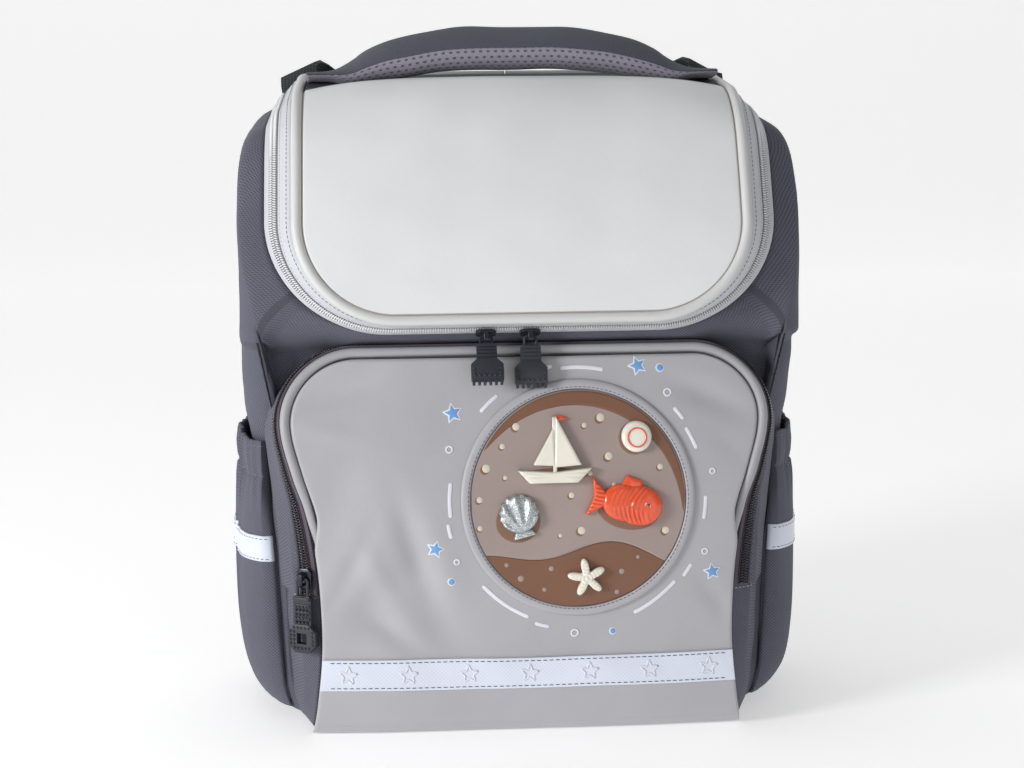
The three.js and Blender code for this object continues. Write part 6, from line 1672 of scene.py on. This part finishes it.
# Copies of the solids with softened edges and a weave map
def softened(name, node, material, width, body="bag", angle=25):
    source = NODES[node]
    bm = bmesh.new()
    bm.from_mesh(source.data)
    bmesh.ops.remove_doubles(bm, verts=bm.verts, dist=1e-6)
    bmesh.ops.dissolve_limit(bm, angle_limit=math.radians(1.0), verts=bm.verts, edges=bm.edges)
    edges = [e for e in bm.edges if len(e.link_faces) == 2 and e.calc_face_angle(0) > math.radians(angle)]
    bmesh.ops.bevel(bm, geom=edges, offset=width * MM, segments=2, profile=0.5, affect="EDGES",
                    clamp_overlap=True)
    bmesh.ops.triangulate(bm, faces=[f for f in bm.faces if len(f.verts) > 4])
    uv = bm.loops.layers.uv.new("weave")
    for face in bm.faces:
        axis = max(range(3), key=lambda k: abs(face.normal[k]))
        a, b = [k for k in (2, 0, 1) if k != axis]
        for loop in face.loops:
            loop[uv].uv = (loop.vert.co[a] * 100, loop.vert.co[b] * 100)
        face.smooth = True
    mesh = bpy.data.meshes.new(name)
    bm.to_mesh(mesh)
    bm.free()
    mesh.materials.append(material)
    mesh.set_sharp_from_angle(angle=math.radians(50))
    obj = place_object(name, mesh)
    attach(obj, body)
    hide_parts(node)


def hard_pieces():
    for name in ("left", "right"):
        node = f"strap_adjuster_{name}"
        softened(f"{node}_moulding", node, M_BUCKLE, 0.8)
        for node in (f"strap_webbing_{name}", f"lifter_webbing_{name}"):
            softened(f"{node}_weave", node, M_WEB, 0.25, angle=40)
        node = f"lid_slider_{name}"
        softened(f"{node}_metal", node, M_METAL, 0.35)
        node = f"lid_pull_{name}"
        softened(f"{node}_rubber", node, M_RUBBER, 0.3, body=node)
    softened("pocket_slider_metal", "pocket_slider", M_METAL, 0.35)
    softened("pocket_pull_rubber", "pocket_pull", M_RUBBER, 0.35, body="pocket_pull")


def pull_frame(node):
    """A hanging pull's directions across it, down it and out of its face, and its points in them."""
    mesh = NODES[node].data
    points = np.array([v.co for v in mesh.vertices]) / MM
    faces = {}
    for polygon in mesh.polygons:
        key = tuple(round(c, 2) for c in polygon.normal)
        if polygon.normal.y < -0.3:
            faces[key] = faces.get(key, 0) + polygon.area
    out = unit(np.array(max(faces, key=faces.get)))
    down = unit(np.array([0, 0, -1.0]) + out * out[2])
    across = np.cross(down, out)
    return across, down, out, points @ np.stack([across, down, out], -1)


def stud_shape(radius, height):
    """A small round-topped stud standing along its third axis."""
    sides = 10
    a = np.linspace(0, 2 * PI, sides, endpoint=False)
    rows = [(1, -0.4), (1, 0.25), (0.82, 0.7), (0.4, 1)]
    points = [[radius * r * math.cos(b), radius * r * math.sin(b), height * h] for r, h in rows for b in a]
    faces = []
    for low in range(0, 3 * sides, sides):
        for k in range(sides):
            n = (k + 1) % sides
            faces.append([low + k, low + n, low + sides + n, low + sides + k])
    for base in (0, 3 * sides):
        faces += [[base, base + k, base + k + 1, base + k + 2] for k in (1, 3, 5)]
        faces.append([base, base + 7, base + 8, base + 9])
    return np.array(points), faces


def pull_details():
    for node, strap, block, tooth, studded_all_over in (
        ("lid_pull_left", 8, 12, 2.2, False), ("lid_pull_right", 8, 12, 2.2, False),
        ("pocket_pull", 14.5, 16, 0, True),
    ):
        across, down, out, local = pull_frame(node)
        middle = (local[:, 0].min() + local[:, 0].max()) / 2
        end = local[:, 1].max() - tooth
        wide = local[local[:, 1] > end - block * 0.6]
        front = wide[:, 2].max()
        half = (wide[:, 0].max() - wide[:, 0].min()) / 2
        spots = []
        if studded_all_over:
            step = 2.3
            for i in np.arange(-half + 1.9, half - 1.2, step):
                for k in np.arange(end - block + 1.9, end - 1.2, step):
                    hole = max(abs(i), abs(k - (end - block / 2)))
                    corner = abs(i) + max(0, abs(k - (end - block / 2))) > half + block / 2 - 4.6
                    if hole > 4.4 and not corner:
                        spots.append((i, k, front))
            top = end - block
            strap_front = local[(local[:, 1] < top - 2) & (local[:, 1] > top - strap + 3)][:, 2].max()
            for i in (-3.3, -1.1, 1.1, 3.3):
                for k in np.arange(top - 1.2, top - strap + 2.6, -2.2):
                    spots.append((i, k, strap_front))
        else:
            for i in np.linspace(-half + 1.9, half - 1.9, 6):
                spots.append((i, end - 1.9, front))
            for k in (end - block * 0.52, end - block * 0.3):
                spots += [(-half + 1.7, k, front), (half - 1.7, k, front)]
        spots = np.array(spots)
        places = (middle + spots[:, :1]) * across + spots[:, 1:2] * down + spots[:, 2:3] * out
        axes = np.broadcast_to(np.stack([across, down, out], -1), (len(spots), 3, 3))
        frames = np.concatenate([axes, places[..., None]], -1)
        make(f"{node}_studs", *repeat(stud_shape(0.78, 0.7), frames), M_RUBBER, body=node)


# The floor, the light and the camera
def floor_and_light():
    mat = bpy.data.materials.new("floor")
    mat.use_nodes = True
    shader = mat.node_tree.nodes["Principled BSDF"]
    shader.inputs["Base Color"].default_value = (0.9, 0.9, 0.9, 1)
    shader.inputs["Roughness"].default_value = 0.9
    shader.inputs["Emission Color"].default_value = (1, 1, 1, 1)
    shader.inputs["Emission Strength"].default_value = 0.4
    half, near, far, rise, bend = 7.0, -4.0, 2.2, 5.0, 1.0
    a = np.linspace(0, PI / 2, 16)
    curve = [(far + bend * math.sin(b), bend * (1 - math.cos(b))) for b in a]
    line = [(near, 0)] + curve + [(far + bend, rise)]
    points = [(x, y, z) for y, z in line for x in (-half, half)]
    faces = [[2 * i, 2 * i + 1, 2 * i + 3, 2 * i + 2] for i in range(len(line) - 1)]
    mesh = bpy.data.meshes.new("floor")
    mesh.from_pydata(points, [], faces)
    mesh.polygons.foreach_set("use_smooth", [True] * len(mesh.polygons))
    mesh.materials.append(mat)
    place_object("floor", mesh)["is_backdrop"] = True
    world = bpy.data.worlds.new("studio")
    world.use_nodes = True
    world.node_tree.nodes["Background"].inputs[0].default_value = (1, 1, 1, 1)
    world.node_tree.nodes["Background"].inputs[1].default_value = 0.3
    bpy.context.scene.world = world

    def lamp(name, place, target, power, width, height):
        data = bpy.data.lights.new(name, "AREA")
        data.shape, data.size, data.size_y = "RECTANGLE", width, height
        data.energy = power
        obj = place_object(name, data)
        obj.location = place
        obj.rotation_euler = (Vector(target) - Vector(place)).to_track_quat("-Z", "Y").to_euler()
        obj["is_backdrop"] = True

    lamp("key", (-1.75, -1.15, 0.62), (0, 0, 0.16), 28, 0.55, 0.55)
    lamp("fill", (0.6, -2.0, 0.4), (0, 0, 0.18), 2.6, 1.0, 1.0)
    lamp("top", (-0.3, 0.1, 1.9), (0, 0, 0.2), 2.4, 1.2, 1.0)
    bpy.context.scene.view_settings.view_transform = "Standard"


def camera():
    turn, tip, roll = math.radians(4), math.radians(9), math.radians(0.5)
    right = Vector((math.cos(turn), -math.sin(turn), 0))
    back = Vector((-math.sin(turn) * math.cos(tip), -math.cos(turn) * math.cos(tip), math.sin(tip)))
    up = back.cross(right)
    across = math.cos(roll) * right - math.sin(roll) * up
    upright = math.cos(roll) * up + math.sin(roll) * right
    data = bpy.data.cameras.new("camera")
    data.lens, data.sensor_width = 79.5, 36
    data.shift_x, data.shift_y = -4 / 1024, 6 / 1024
    obj = place_object("camera", data)
    target, distance = Vector((0, -0.017, 0.18)), 1.3
    matrix = Matrix((across, upright, back)).transposed().to_4x4()
    matrix.translation = target + back * distance
    obj.matrix_world = matrix
    bpy.context.scene.camera = obj


def as_lists(value):
    return value.tolist() if hasattr(value, "tolist") else [list(v) for v in value]


body_piece()
lid_pieces()
pocket_pieces()
badge_pieces()
motif_pieces()
prints()
side_pieces()
handle_pieces()
back_pieces()
hard_pieces()
pull_details()
floor_and_light()
camera()
{"cad": as_lists(cad_box), "visual": as_lists(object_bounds())}
